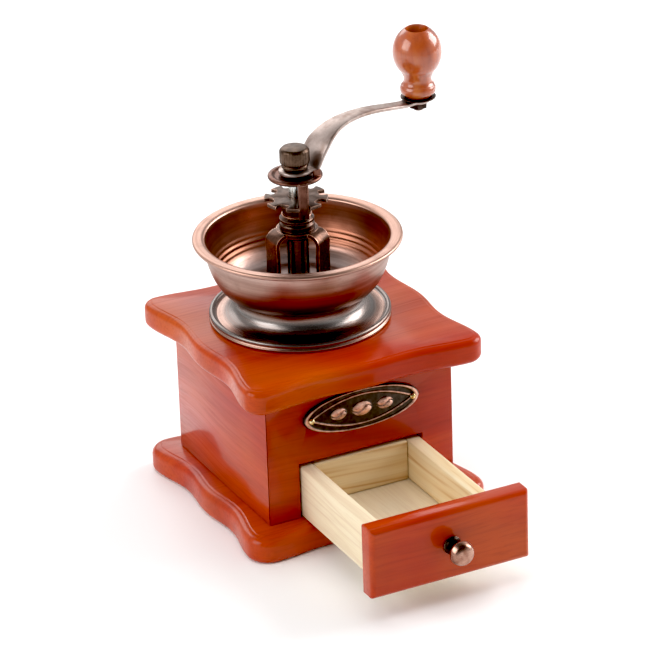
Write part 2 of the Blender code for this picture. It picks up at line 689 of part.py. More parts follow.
def make_crank_arm(axis):
    """A bent, tapering strip from the spindle to the knob."""
    level = ARM_BOTTOM + ARM_SHEET / 2
    rise = level + 16.4 * MM
    start = [(r * MM, level) for r in (-7.0, -6.2, -4.8, -2.6, 0, 5.0)]
    ramp = curve((6.8 * MM, level), (10.6 * MM, level + 2 * MM), (12.4 * MM, rise - 1 * MM),
                 (31 * MM, rise), 10)
    end_height = level + KNOB_END_RISE
    reach = curve((31 * MM, rise), (43 * MM, rise + 0.9 * MM), (53 * MM, end_height + 1.2 * MM),
                  (CRANK_LENGTH - 9 * MM, end_height), 7)[1:]
    pad = [(CRANK_LENGTH + r * MM, end_height) for r in (-4.6, -2.6, 0, 2.6, 4.2, 5.0)]
    path = start + ramp + reach + pad
    mesh = strip(path, lambda i: arm_half_width(path[i][0]), ARM_SHEET)
    arm = add_part("crank_arm", moved(mesh, angle=CRANK_ANGLE), COPPER, axis)
    cut(arm, rod(SPINDLE_NECK + GAP, level - 2 * ARM_SHEET, level + 2 * ARM_SHEET, 24))
    pin = rod(KNOB_PIN + GAP, end_height - 2 * ARM_SHEET, end_height + 2 * ARM_SHEET, 20)
    cut(arm, moved(pin, on_circle(CRANK_LENGTH, CRANK_ANGLE)))


def make_cap_nut(axis):
    """The knurled cap nut on top of the spindle, above a spring washer."""
    low = ARM_BOTTOM + ARM_SHEET + GAP
    high = low + 1.5 * MM
    bore = SPINDLE_NECK + GAP
    add_part("spring_washer", ring(5.6 * MM, bore, low, high), DARK_COPPER, axis)
    foot = high + GAP
    body = NUT_TOP - 8 * MM
    chamfer = 0.9 * MM
    outside = [(0, NUT_TOP), (NUT_RADIUS - chamfer, NUT_TOP), (NUT_RADIUS, NUT_TOP - chamfer),
               (NUT_RADIUS, body + chamfer), (NUT_RADIUS - chamfer, body), (5.0 * MM, foot + 1 * MM),
               (5.4 * MM, foot)]
    ceiling = NUT_TOP - 3 * MM
    hole = [(bore, foot), (bore, ceiling), (0, ceiling)]
    add_part("cap_nut", turned(outside + hole, 20), DARK_COPPER, axis)


# ---------------------------------------------------------------- knob

def make_knob(axis):
    """A turned handle: a ball over a waist and a small foot, bored for its pin."""
    low = KNOB_BOTTOM
    cut_off = 62                # degrees up the ball where its top is cut flat
    ball = arc((0, KNOB_TOP - BALL_HALF * sin(radians(cut_off))), (KNOB_RADIUS, BALL_HALF), cut_off, -44, 9)
    waist = curve(ball[-1], (KNOB_WAIST + 0.2 * MM, low + 9.6 * MM), (KNOB_WAIST - 0.7 * MM, low + 7.4 * MM),
                  (KNOB_WAIST + 1.3 * MM, low + 5.5 * MM), 6)[1:]
    foot = arc((KNOB_WAIST + 0.1 * MM, low + 3.3 * MM), (1.9 * MM, 2.6 * MM), 50, -70, 4)
    foot += [(KNOB_WAIST + 0.2 * MM, low)]
    bore = [(KNOB_PIN + GAP, low), (KNOB_PIN + GAP, HEAD_SEAT), (COUNTERBORE, HEAD_SEAT),
            (COUNTERBORE, KNOB_TOP)]
    mesh = turned(ball + waist + foot + bore, 24, closed=True)
    add_part("crank_knob", moved(mesh, on_circle(CRANK_LENGTH, CRANK_ANGLE)), KNOB_WOOD, axis)


def make_knob_pin(axis):
    """The screw that the knob spins on, with a washer above the arm and a nut below it."""
    place = on_circle(CRANK_LENGTH, CRANK_ANGLE)
    arm_low = ARM_BOTTOM + KNOB_END_RISE
    nut_high = arm_low - GAP
    low = nut_high - 3.6 * MM
    head = HEAD_SEAT + GAP
    radius = 4.2 * MM
    dome = [(0, head + 2 * MM), (radius - 1 * MM, head + 2 * MM), (radius, head + 1.2 * MM), (radius, head)]
    profile = dome + [(KNOB_PIN, head), (KNOB_PIN, low), (0, low)]
    add_part("knob_pin", moved(turned(profile, 20), place), DARK_COPPER, axis)
    washer_low = arm_low + ARM_SHEET + GAP
    washer = ring(8 * MM, KNOB_PIN + GAP, washer_low, KNOB_BOTTOM - GAP)
    add_part("knob_washer", moved(washer, place), DARK_COPPER, axis)
    add_nut("knob_nut", DARK_COPPER, 4.3 * MM, KNOB_PIN + GAP, nut_high, place, axis)


# ---------------------------------------------------------------- drawer

def grooved_board():
    """A drawer side's section: (inwards, height), its outer face at 0, with a groove for the floor."""
    wall = DRAWER_WALL
    groove = wall - GROOVE
    low = DRAWER_LOW + FLOOR_HEIGHT
    high = low + DRAWER_FLOOR + 2 * GAP
    return [(0, DRAWER_LOW), (wall, DRAWER_LOW), (wall, low), (groove, low), (groove, high), (wall, high),
            (wall, DRAWER_HIGH), (0, DRAWER_HIGH)]


def make_drawer(slide):
    """The tray: two sides, a back and a floor held in their grooves."""
    half = DRAWER_WIDTH / 2
    section = grooved_board()
    for name, side in (("drawer_side_left", -1), ("drawer_side_right", 1)):
        outline = [(side * (half - inwards), height) for inwards, height in section]
        board = upright_prism(outline, DRAWER_FRONT, DRAWER_BACK)
        add_part(name, board, PALE_WOOD, slide, smooth=False)
    inner = half - DRAWER_WALL - GAP
    mirrored = [(-inwards, height) for inwards, height in section]
    back = moved(upright_prism(mirrored, -inner, inner), (0, DRAWER_BACK, 0), pi / 2)
    add_part("drawer_back", back, PALE_WOOD, slide, smooth=False)
    edge = inner + GROOVE - GAP
    floor_low = DRAWER_LOW + FLOOR_HEIGHT + GAP
    floor_back = DRAWER_BACK - DRAWER_WALL + GROOVE - 2 * GAP
    floor = block((-edge, DRAWER_FRONT + GAP, floor_low), (edge, floor_back, floor_low + DRAWER_FLOOR))
    add_part("drawer_floor", floor, PALE_WOOD, slide, smooth=False)


def make_drawer_front(slide):
    """The red panel that overlaps the opening, with its pull."""
    width, thick, height = PANEL_SIZE
    low = DRAWER_LOW - GAP
    slab = block((-width / 2, DRAWER_FACE - thick, low), (width / 2, DRAWER_FACE, low + height))
    panel = add_part("drawer_front", slab, RED_WOOD, slide)
    round_edges(panel, 2.4 * MM, 3)
    bore = PULL_PIN + GAP
    cut(panel, across_drawer(rod(bore, -CLEAR, thick + CLEAR, 20)))
    face = thick + GAP
    end = face + PULL_LENGTH
    cap = [(0, end), (3.6 * MM, end - 0.3 * MM), (5.4 * MM, end - 1.8 * MM), (5.6 * MM, end - 3 * MM),
           (4.8 * MM, end - 4.2 * MM), (3.2 * MM, end - 5.2 * MM)]
    stem = [(2.9 * MM, face + 2 * MM), (4.2 * MM, face)]
    depth = face + 6 * MM
    thread = [(bore, face), (bore, depth), (0, depth)]
    add_part("drawer_pull", across_drawer(turned(cap + stem + thread, 18)), COPPER, slide)
    tip = depth - 1 * MM
    head = 3.6 * MM
    screw = [(0, tip), (PULL_PIN, tip), (PULL_PIN, -GAP), (head, -GAP), (head, -GAP - 1 * MM),
             (head - 1.4 * MM, -GAP - 1.8 * MM), (0, -GAP - 1.8 * MM)]
    add_part("drawer_pull_screw", across_drawer(turned(screw, 16)), STEEL, slide)


def across_drawer(mesh):
    """Lay a piece made along +Z so that it starts at the panel's back and points forwards."""
    bmesh.ops.rotate(mesh, verts=mesh.verts, cent=(0, 0, 0), matrix=Matrix.Rotation(pi / 2, 3, "X"))
    bmesh.ops.translate(mesh, verts=mesh.verts, vec=(0, DRAWER_FACE, PULL_HEIGHT))
    return mesh


# ---------------------------------------------------------------- the whole mill

def build():
    """Make every piece; the box and its drawer are made round the origin, then moved as one."""
    for old in list(bpy.data.objects):
        bpy.data.objects.remove(old, do_unlink=True)
    box = add_axis("box", (0, 0, 0))
    make_base(box)
    make_walls(box)
    make_top(box)
    make_base_screws(box)
    make_guides(box)
    make_badge(box)
    make_badge_nails(box)
    make_hopper_foot()
    make_bowl()
    make_outer_burr()
    make_bearing_spider()
    make_mill_bolts()
    make_bracket()
    make_bush()
    spindle_axis = add_axis("spindle_axis", (0, 0, BUSH_TOP))
    make_adjusting_nut(spindle_axis)
    make_spindle(spindle_axis)
    make_inner_burr(spindle_axis)
    make_lock_plate(spindle_axis)
    make_crank_arm(spindle_axis)
    make_cap_nut(spindle_axis)
    make_knob_pin(spindle_axis)
    make_knob(add_axis("knob_axis", on_circle(CRANK_LENGTH, CRANK_ANGLE, KNOB_BOTTOM)))
    drawer_slide = add_axis("drawer_slide", (0, DRAWER_FACE, DRAWER_LOW), box)
    make_drawer(drawer_slide)
    make_drawer_front(drawer_slide)
    box.location = BOX_MIDDLE


build()
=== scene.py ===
"""The coffee mill's looks: fine surfaces and materials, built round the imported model."""
from math import cos, exp, pi, radians, sin, sqrt, tau

import bmesh
import bpy
from mathutils import Matrix, Vector
from mathutils.geometry import interpolate_bezier


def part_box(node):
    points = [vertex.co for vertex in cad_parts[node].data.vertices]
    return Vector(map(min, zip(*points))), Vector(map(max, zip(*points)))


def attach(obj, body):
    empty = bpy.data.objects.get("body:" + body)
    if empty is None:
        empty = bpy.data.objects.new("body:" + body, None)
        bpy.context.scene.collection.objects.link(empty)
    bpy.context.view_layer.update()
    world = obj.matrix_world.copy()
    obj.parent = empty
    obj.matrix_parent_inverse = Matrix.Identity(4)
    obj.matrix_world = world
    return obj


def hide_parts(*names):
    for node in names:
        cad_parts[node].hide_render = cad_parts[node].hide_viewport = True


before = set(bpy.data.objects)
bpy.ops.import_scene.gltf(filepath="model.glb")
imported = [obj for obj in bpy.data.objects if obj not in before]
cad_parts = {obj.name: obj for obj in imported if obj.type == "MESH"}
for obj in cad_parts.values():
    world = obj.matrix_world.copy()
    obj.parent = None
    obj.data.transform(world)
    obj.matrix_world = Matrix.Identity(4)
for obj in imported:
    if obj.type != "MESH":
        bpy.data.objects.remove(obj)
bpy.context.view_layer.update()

MM = 0.001
GAP = 0.3 * MM              # left between touching pieces, as in the CAD model
FINE = 144                  # facets round a large turned piece
SMALL = 64                  # and round a small one


# ================================================================ camera and studio

VIEW_AZIMUTH = radians(26.1)        # the camera stands to the left of the drawer's front
VIEW_ELEVATION = radians(25.2)
VIEW_ROLL = radians(-2.0)
VIEW_DISTANCE = 1.865
VIEW_LENS = 233.1
AIM_HEIGHT = 80 * MM
AIM_ASIDE = Vector((5.1 * MM, 1.3 * MM))    # where the lens points, right of and above the box's middle
BLACK_POINT = 0.022                 # light levels below this are shown as black
TABLE_HALF = 6                      # half the side of the table top, in metres


def box_middle():
    """The middle of the wooden box in plan."""
    low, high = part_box("base_board")
    return Vector(((low.x + high.x) / 2, (low.y + high.y) / 2, 0))


def make_camera():
    """A long lens at the photograph's angle, slightly rolled."""
    a, e = VIEW_AZIMUTH, VIEW_ELEVATION
    back = Vector((-sin(a) * cos(e), -cos(a) * cos(e), sin(e)))
    level = Vector((cos(a), -sin(a), 0))
    upwards = back.cross(level)
    right = level * cos(VIEW_ROLL) + upwards * sin(VIEW_ROLL)
    up = upwards * cos(VIEW_ROLL) - level * sin(VIEW_ROLL)
    data = bpy.data.cameras.new("camera")
    data.lens = VIEW_LENS
    data.clip_end = 20
    camera = bpy.data.objects.new("camera", data)
    bpy.context.collection.objects.link(camera)
    aim = box_middle() + Vector((0, 0, AIM_HEIGHT)) + right * AIM_ASIDE.x + up * AIM_ASIDE.y
    turn = Matrix((right, up, back)).transposed().to_4x4()
    camera.matrix_world = Matrix.Translation(aim + back * VIEW_DISTANCE) @ turn
    bpy.context.scene.camera = camera


def set_tones():
    """Plain display colours, with the darkest levels taken down to black."""
    look = bpy.context.scene.view_settings
    look.view_transform = "Standard"
    look.use_curve_mapping = True
    look.curve_mapping.black_level = alike(BLACK_POINT)
    look.curve_mapping.update()


def softbox(name, place, size, power):
    """A large rectangular light that faces the mill."""
    data = bpy.data.lights.new(name, "AREA")
    data.shape = "RECTANGLE"
    data.size, data.size_y = size
    data.energy = power
    light = bpy.data.objects.new(name, data)
    bpy.context.collection.objects.link(light)
    light.location = place
    towards = Vector((0, 0, AIM_HEIGHT)) - Vector(place)
    light.rotation_euler = towards.to_track_quat("-Z", "Y").to_euler()
    return light


def make_lights():
    """One light at each side, one behind, and one overhead that the metal doesn't mirror."""
    softbox("left_light", (-1.5, 0.0, 0.95), (1.2, 1.1), 15)
    softbox("right_light", (1.6, -0.1, 0.85), (1.1, 1.0), 26)
    softbox("back_light", (0.2, 1.7, 1.0), (1.6, 0.9), 10)
    fill = softbox("overhead_fill", (-0.1, -0.3, 1.7), (1.5, 1.5), 13)
    fill.visible_glossy = False


def make_room():
    """A pale room, dark overhead and towards the camera."""
    world = bpy.data.worlds.new("studio")
    bpy.context.scene.world = world
    world.use_nodes = True
    tree = world.node_tree
    where = add_node(tree, "TexCoord").outputs["Generated"]
    steepness = 1.8         # how far the dark side looks up
    dark_side = Vector((-sin(VIEW_AZIMUTH), -cos(VIEW_AZIMUTH), steepness)).normalized()
    facing = add_node(tree, "VectorMath", {0: where, 1: dark_side}, operation="DOT_PRODUCT")
    shade = ramp(tree, facing.outputs["Value"], [(0.0, alike(0.66)), (0.38, alike(0.86)),
                                                 (0.60, alike(0.30)), (0.80, alike(0.10))])
    tree.links.new(shade, tree.nodes["Background"].inputs["Color"])


def make_table():
    """A plain white table top."""
    mesh = bmesh.new()
    corners = [(-1, -1), (1, -1), (1, 1), (-1, 1)]
    mesh.faces.new([mesh.verts.new((x * TABLE_HALF, y * TABLE_HALF, 0)) for x, y in corners])
    floor = new_object("table_top", mesh)
    tree, shader = new_material("table_white", floor, roughness=0.55, specular=0.25)
    where = add_node(tree, "TexCoord").outputs["Object"]
    off_white, white = (0.985, 0.985, 0.99), alike(1.0)
    tone = ramp(tree, noise(tree, where, 3.0), [(0.3, off_white), (0.7, white)])
    tree.links.new(tone, shader.inputs["Base Color"])


# ================================================================ nodes

def alike(value):
    """One value for all three axes, or for red, green and blue."""
    return (value, value, value)


def add_node(tree, kind, inputs=None, **settings):
    """A shader node with its settings made and its inputs set or linked."""
    node = tree.nodes.new("ShaderNode" + kind)
    for key, value in settings.items():
        setattr(node, key, value)
    for key, value in (inputs or {}).items():
        if isinstance(value, bpy.types.NodeSocket):
            tree.links.new(value, node.inputs[key])
        else:
            node.inputs[key].default_value = value
    return node


def ramp(tree, value, stops):
    """A colour ramp through (position, (r, g, b)) stops; returns its colour."""
    node = add_node(tree, "ValToRGB", {0: value})
    points = node.color_ramp.elements
    while len(points) < len(stops):
        points.new(0.5)
    for point, (place, colour) in zip(points, stops):
        point.position = place
        point.color = (*colour, 1)
    return node.outputs["Color"]


def spread(tree, value, low, high, to_low=0.0, to_high=1.0):
    """A value stretched from one range to another, and clamped."""
    inputs = {"Value": value, "From Min": low, "From Max": high, "To Min": to_low, "To Max": to_high}
    return add_node(tree, "MapRange", inputs).outputs["Result"]


def mixed(tree, factor, first, second):
    """Two colours blended by a factor."""
    node = add_node(tree, "Mix", data_type="RGBA")
    for socket, value in ((node.inputs[0], factor), (node.inputs[6], first), (node.inputs[7], second)):
        if isinstance(value, bpy.types.NodeSocket):
            tree.links.new(value, socket)
        elif isinstance(value, tuple):
            socket.default_value = (*value, 1)
        else:
            socket.default_value = value
    return node.outputs[2]


def maths(tree, operation, first, second):
    """One arithmetic step."""
    return add_node(tree, "Math", {0: first, 1: second}, operation=operation).outputs[0]


def vector_maths(tree, operation, first, second):
    """One arithmetic step on vectors."""
    return add_node(tree, "VectorMath", {0: first, 1: second}, operation=operation).outputs[0]


def noise(tree, where, scale, detail=3.0, rough=0.5):
    """Noise read at coordinates stretched by a scale, which may differ for each axis."""
    factors = scale if isinstance(scale, tuple) else alike(scale)
    stretched = vector_maths(tree, "MULTIPLY", where, factors)
    inputs = {"Vector": stretched, "Scale": 1.0, "Detail": detail, "Roughness": rough}
    return add_node(tree, "TexNoise", inputs).outputs["Fac"]


def bump(tree, shader, height, depth, strength):
    """Relief of a given depth in metres."""
    node = add_node(tree, "Bump", {"Height": height, "Distance": depth, "Strength": strength})
    tree.links.new(node.outputs["Normal"], shader.inputs["Normal"])


def new_material(name, piece, roughness, metallic=0.0, coat=0.0, coat_roughness=0.05, specular=0.5):
    """A material on one piece; returns its tree and its shader."""
    material = bpy.data.materials.new(name)
    material.use_nodes = True
    piece.data.materials.clear()
    piece.data.materials.append(material)
    shader = material.node_tree.nodes["Principled BSDF"]
    shader.inputs["Roughness"].default_value = roughness
    shader.inputs["Metallic"].default_value = metallic
    shader.inputs["Coat Weight"].default_value = coat
    shader.inputs["Coat Roughness"].default_value = coat_roughness
    shader.inputs["Specular IOR Level"].default_value = specular
    return material.node_tree, shader


def edge_mask(tree, radius):
    """1 along sharp edges and 0 on the faces between them."""
    rounded_normal = add_node(tree, "Bevel", {"Radius": radius}, samples=6).outputs[0]
    plain_normal = add_node(tree, "NewGeometry").outputs["Normal"]
    match = add_node(tree, "VectorMath", {0: rounded_normal, 1: plain_normal}, operation="DOT_PRODUCT")
    return spread(tree, match.outputs["Value"], 0.995, 0.90)


# ================================================================ wood

def along_grain(tree, axis, fine, coarse, wander=0.02, seed=0.0):
    """Object coordinates, bent a little and moved by a seed, and a scale that is coarse along the grain."""
    where = add_node(tree, "TexCoord").outputs["Object"]
    bend = add_node(tree, "TexNoise", {"Vector": where, "Scale": 9.0, "Detail": 1.0}).outputs["Color"]
    bent = vector_maths(tree, "ADD", where, vector_maths(tree, "MULTIPLY", bend, alike(wander)))
    moved = vector_maths(tree, "ADD", bent, alike(seed))
    return moved, tuple(coarse if name == axis else fine for name in "XYZ")


def red_wood(piece, axis, seed, orange=0.35, coat=0.5):
    """Orange-red stained wood under gloss lacquer, with clouds of a lighter orange."""
    deep, plain, light = (0.33, 0.018, 0.003), (0.42, 0.030, 0.004), (0.50, 0.050, 0.006)
    amber, brown = (0.56, 0.130, 0.015), (0.17, 0.010, 0.002)
    tree, shader = new_material(piece.name + "_lacquered", piece, roughness=0.34, specular=0.15,
                                coat=coat, coat_roughness=0.12)
    where, fine = along_grain(tree, axis, 700.0, 15.0, seed=seed)
    fibres = noise(tree, where, fine, 5.0, 0.65)
    bands = noise(tree, where, tuple(v / 9 for v in fine), 3.0, 0.55)
    clouds = noise(tree, where, 16.0, 2.0)
    base = ramp(tree, bands, [(0.30, deep), (0.5, plain), (0.72, light)])
    warm = mixed(tree, spread(tree, clouds, 0.40, 0.66, 0.0, orange), base, amber)
    dark = mixed(tree, spread(tree, fibres, 0.48, 0.72, 0.0, 0.30), warm, brown)
    tree.links.new(dark, shader.inputs["Base Color"])
    tree.links.new(spread(tree, fibres, 0.3, 0.7, 0.28, 0.46), shader.inputs["Roughness"])
    bump(tree, shader, fibres, 0.05 * MM, 0.35)


def pale_wood(piece, axis, seed, honey=0.35):
    """Bare planed pine: cream early wood with honey streaks."""
    cream, straw, streak = (0.84, 0.70, 0.46), (0.78, 0.60, 0.34), (0.58, 0.34, 0.14)
    late, bare, brown = (0.80, 0.64, 0.39), (0.90, 0.81, 0.62), (0.60, 0.42, 0.22)
    tree, shader = new_material(piece.name + "_pine", piece, roughness=0.58, specular=0.35)
    where, fine = along_grain(tree, axis, 210.0, 5.0, 0.012, seed)
    rings = noise(tree, where, fine, 2.0, 0.45)
    fibres = noise(tree, where, tuple(v * 6 for v in fine), 4.0, 0.6)
    base = ramp(tree, rings, [(0.36, cream), (0.52, straw), (0.60, streak), (0.66, late)])
    aged = mixed(tree, spread(tree, fibres, 0.5, 0.8, 0.0, 0.35), mixed(tree, honey, bare, base), brown)
    tree.links.new(aged, shader.inputs["Base Color"])
    bump(tree, shader, fibres, 0.08 * MM, 0.5)


def knob_wood(piece):
    """Amber-red turned wood under lacquer, its grain running up the knob."""
    deep, plain, light = (0.30, 0.045, 0.012), (0.47, 0.10, 0.026), (0.60, 0.20, 0.06)
    brown = (0.22, 0.03, 0.010)
    tree, shader = new_material("knob_lacquered", piece, roughness=0.30, coat=1.0, coat_roughness=0.10)
    where, fine = along_grain(tree, "Z", 420.0, 26.0)
    fibres = noise(tree, where, fine, 5.0, 0.6)
    bands = noise(tree, where, tuple(v / 5 for v in fine), 2.0)
    base = ramp(tree, bands, [(0.3, deep), (0.55, plain), (0.75, light)])
    streaked = mixed(tree, spread(tree, fibres, 0.48, 0.72, 0.0, 0.45), base, brown)
    tree.links.new(streaked, shader.inputs["Base Color"])
    bump(tree, shader, fibres, 0.05 * MM, 0.3)


# ================================================================ metal

def turned_coordinates(tree):
    """Object coordinates, and (distance from the axis, height, how far round) about the mill's axis."""
    where = add_node(tree, "TexCoord").outputs["Object"]
    parts = add_node(tree, "SeparateXYZ", {0: where})
    flat = add_node(tree, "CombineXYZ", {0: parts.outputs[0], 1: parts.outputs[1]}).outputs[0]
    radius = add_node(tree, "VectorMath", {0: flat}, operation="LENGTH").outputs["Value"]
    around = add_node(tree, "VectorMath", {0: flat}, operation="NORMALIZE").outputs[0]
    turn = maths(tree, "MULTIPLY", add_node(tree, "SeparateXYZ", {0: around}).outputs[0], 0.004)
    rings = add_node(tree, "CombineXYZ", {0: radius, 1: parts.outputs[2], 2: turn}).outputs[0]
    return where, rings


def brushed_round(tree, shader, amount):
    """Highlights drawn out round the mill's axis."""
    shader.inputs["Anisotropic"].default_value = amount
    around = add_node(tree, "Tangent", direction_type="RADIAL", axis="Z").outputs[0]
    tree.links.new(around, shader.inputs["Tangent"])


def copper(piece, bright=(0.93, 0.60, 0.48), deep=(0.42, 0.17, 0.10), patina=0.3, turned=True, rough=0.24):
    """Antique copper plate: brushed, rubbed bright, with brown patina."""
    brown = (0.10, 0.040, 0.024)
    tree, shader = new_material(piece.name + "_copper", piece, roughness=rough, metallic=1.0)
    where, rings = turned_coordinates(tree)
    if turned:
        brushed_round(tree, shader, 0.55)
        lines = noise(tree, rings, (5200.0, 5200.0, 900.0), 3.0, 0.7)
    else:
        lines = noise(tree, where, (220.0, 3200.0, 3200.0), 3.0, 0.7)
    zones = noise(tree, rings if turned else where, (170.0, 170.0, 120.0), 2.0)
    mottle = noise(tree, where, 90.0, 4.0, 0.6)
    base = mixed(tree, spread(tree, zones, 0.42, 0.66), bright, deep)
    brushed = mixed(tree, spread(tree, lines, 0.35, 0.7, 0.0, 0.38), base, deep)
    stain = spread(tree, mottle, 0.60 - patina / 3, 0.86, 0.0, 2.2 * patina)
    tree.links.new(mixed(tree, stain, brushed, brown), shader.inputs["Base Color"])
    tree.links.new(spread(tree, lines, 0.3, 0.75, rough - 0.06, rough + 0.12), shader.inputs["Roughness"])
    bump(tree, shader, lines, 0.02 * MM, 0.35)


def copper_with_painted_light(piece, outside, inside, rough):
    """Antique copper with painted light and shade: its tone changes with height, and differs on faces that
    look down and up.
    """
    band, line, stain = (0.16, 0.070, 0.045), (0.20, 0.10, 0.07), (0.12, 0.045, 0.028)
    tree, shader = new_material(piece.name + "_copper", piece, roughness=rough, metallic=1.0)
    brushed_round(tree, shader, 0.5)
    where, rings = turned_coordinates(tree)
    # painted shade and reflection: the colour follows ramps of tone up the piece
    heights = [v.co.z for v in piece.data.vertices]
    height = add_node(tree, "SeparateXYZ", {0: rings}).outputs[1]
    level = spread(tree, height, min(heights), max(heights))
    normal = add_node(tree, "NewGeometry").outputs["Normal"]
    # painted light: faces that look up take the inside tones and faces that look down the outside tones,
    # lit and shaded copies of the copper
    upwards = spread(tree, add_node(tree, "SeparateXYZ", {0: normal}).outputs[2], -0.05, 0.05)
    base = mixed(tree, upwards, ramp(tree, level, outside), ramp(tree, level, inside))
    lines = noise(tree, rings, (5200.0, 5200.0, 900.0), 3.0, 0.7)
    zones = noise(tree, rings, (420.0, 420.0, 160.0), 2.0)
    mottle = noise(tree, where, (70.0, 70.0, 90.0), 4.0, 0.6)
    banded = mixed(tree, spread(tree, zones, 0.40, 0.68, 0.0, 0.45), base, band)
    brushed = mixed(tree, spread(tree, lines, 0.40, 0.72, 0.0, 0.30), banded, line)
    aged = mixed(tree, spread(tree, mottle, 0.52, 0.80, 0.0, 0.5), brushed, stain)
    tree.links.new(aged, shader.inputs["Base Color"])
    tree.links.new(spread(tree, lines, 0.3, 0.75, rough - 0.05, rough + 0.12), shader.inputs["Roughness"])
    bump(tree, shader, lines, 0.02 * MM, 0.3)


def dark_copper(piece, wear=0.4 * MM, dark=(0.105, 0.066, 0.050), rough=0.36, raised=None):
    """Dark antique patina, worn to copper along the edges and in a raised range of Y."""
    worn_copper = (0.86, 0.52, 0.40)
    tree, shader = new_material(piece.name + "_patina", piece, roughness=rough, metallic=1.0)
    where = add_node(tree, "TexCoord").outputs["Object"]
    mottle = noise(tree, where, 320.0, 4.0, 0.6)
    scratch = noise(tree, where, (400.0, 3000.0, 1200.0), 3.0, 0.6)
    base = mixed(tree, spread(tree, mottle, 0.4, 0.75, 0.0, 0.65), dark, tuple(v * 2.6 for v in dark))
    rubbed = edge_mask(tree, wear)
    if raised:
        forward = add_node(tree, "SeparateXYZ", {0: where}).outputs[1]
        rubbed = maths(tree, "MAXIMUM", rubbed, spread(tree, forward, *raised))
    edges = maths(tree, "MULTIPLY", rubbed, spread(tree, mottle, 0.30, 0.55, 0.25, 1.0))
    tree.links.new(mixed(tree, edges, base, worn_copper), shader.inputs["Base Color"])
    tree.links.new(spread(tree, scratch, 0.3, 0.7, rough - 0.08, rough + 0.12), shader.inputs["Roughness"])
    bump(tree, shader, scratch, 0.02 * MM, 0.35)


def steel(piece, dark_below=None):
    """Bright turned steel, browned below a given height."""
    bright, brown = (0.74, 0.75, 0.71), (0.34, 0.25, 0.18)
    tree, shader = new_material(piece.name + "_steel", piece, roughness=0.2, metallic=1.0)
    where, rings = turned_coordinates(tree)
    lines = noise(tree, rings, (3000.0, 3000.0, 400.0), 3.0, 0.6)
    shade = mixed(tree, spread(tree, lines, 0.4, 0.7, 0.0, 0.4), bright, tuple(v * 0.6 for v in bright))
    if dark_below:
        height = add_node(tree, "SeparateXYZ", {0: where}).outputs[2]
        shade = mixed(tree, spread(tree, height, dark_below - 0.2 * MM, dark_below), brown, shade)
    tree.links.new(shade, shader.inputs["Base Color"])
    tree.links.new(spread(tree, lines, 0.3, 0.7, 0.15, 0.3), shader.inputs["Roughness"])
    bump(tree, shader, lines, 0.02 * MM, 0.3)


def iron(piece):
    """Grey cast iron."""
    tree, shader = new_material(piece.name + "_iron", piece, roughness=0.55, metallic=1.0)
    pits = noise(tree, add_node(tree, "TexCoord").outputs["Object"], 900.0, 4.0, 0.65)
    dark, grey = (0.07, 0.065, 0.06), (0.24, 0.23, 0.22)
    tone = ramp(tree, pits, [(0.35, dark), (0.65, grey)])
    tree.links.new(tone, shader.inputs["Base Color"])
    bump(tree, shader, pits, 0.1 * MM, 0.6)


def brass(piece):
    """Polished brass, tarnished in patches."""
    tree, shader = new_material(piece.name + "_brass", piece, roughness=0.2, metallic=1.0)
    mottle = noise(tree, add_node(tree, "TexCoord").outputs["Object"], 700.0)
    tarnished, polished = (0.55, 0.36, 0.12), (0.95, 0.80, 0.48)
    tone = ramp(tree, mottle, [(0.35, tarnished), (0.6, polished)])
    tree.links.new(tone, shader.inputs["Base Color"])
    bump(tree, shader, mottle, 0.02 * MM, 0.3)


# ================================================================ outlines and meshes

def arc(centre, radius, start, end, steps):
    """Points along an arc, in degrees; radius may be a pair for an ellipse."""
    rx, ry = radius if isinstance(radius, tuple) else (radius, radius)
    angles = [radians(start + (end - start) * i / steps) for i in range(steps + 1)]
    return [(centre[0] + rx * cos(a), centre[1] + ry * sin(a)) for a in angles]


def curve(start, lead_out, lead_in, end, steps):
    """Points along one cubic curve."""
    points = [Vector((x, y, 0)) for x, y in (start, lead_out, lead_in, end)]
    return [(p.x, p.y) for p in interpolate_bezier(*points, steps + 1)]


def lathe(profile, steps=FINE):
    """A closed profile of (radius, height) points spun about +Z."""
    mesh = bmesh.new()
    points = [mesh.verts.new((radius, 0, height)) for radius, height in profile]
    edges = [mesh.edges.new(pair) for pair in zip(points, points[1:] + points[:1])]
    bmesh.ops.spin(mesh, geom=points + edges, axis=(0, 0, 1), cent=(0, 0, 0), angle=tau, steps=steps,
                   use_merge=True)
    bmesh.ops.remove_doubles(mesh, verts=mesh.verts, dist=1e-6)
    bmesh.ops.recalc_face_normals(mesh, faces=mesh.faces)
    return mesh


def bridge(mesh, rows):
    """Faces between closed rows of vertices."""
    for first, second in zip(rows, rows[1:]):
        for k in range(len(first)):
            after = (k + 1) % len(first)
            mesh.faces.new((first[k], first[after], second[after], second[k]))


def capped(mesh, rows):
    """The mesh with faces between its rows, and over the first and the last of them."""
    bridge(mesh, rows)
    mesh.faces.new(rows[0])
    mesh.faces.new(rows[-1])
    bmesh.ops.recalc_face_normals(mesh, faces=mesh.faces)
    return mesh


def upright(outline, low, high):
    """An outline in plan, raised from one height to another."""
    mesh = bmesh.new()
    return capped(mesh, [[mesh.verts.new((x, y, z)) for x, y in outline] for z in (low, high)])


def rounded(mesh, width, steps=3, angle=30, clamp=True):
    """The mesh with its edges sharper than an angle rounded."""
    sharp = [e for e in mesh.edges if e.calc_face_angle(0) > radians(angle)]
    bmesh.ops.bevel(mesh, geom=sharp, offset=width, segments=steps, profile=0.5, affect="EDGES",
                    clamp_overlap=clamp)
    return mesh


def shifted(mesh, offset):
    """The mesh moved by an offset."""
    bmesh.ops.translate(mesh, verts=mesh.verts, vec=offset)
    return mesh


def turned_about(mesh, angle, axis="Z"):
    """The mesh turned about one of the world's axes."""
    bmesh.ops.rotate(mesh, verts=mesh.verts, cent=(0, 0, 0), matrix=Matrix.Rotation(angle, 3, axis))
    return mesh


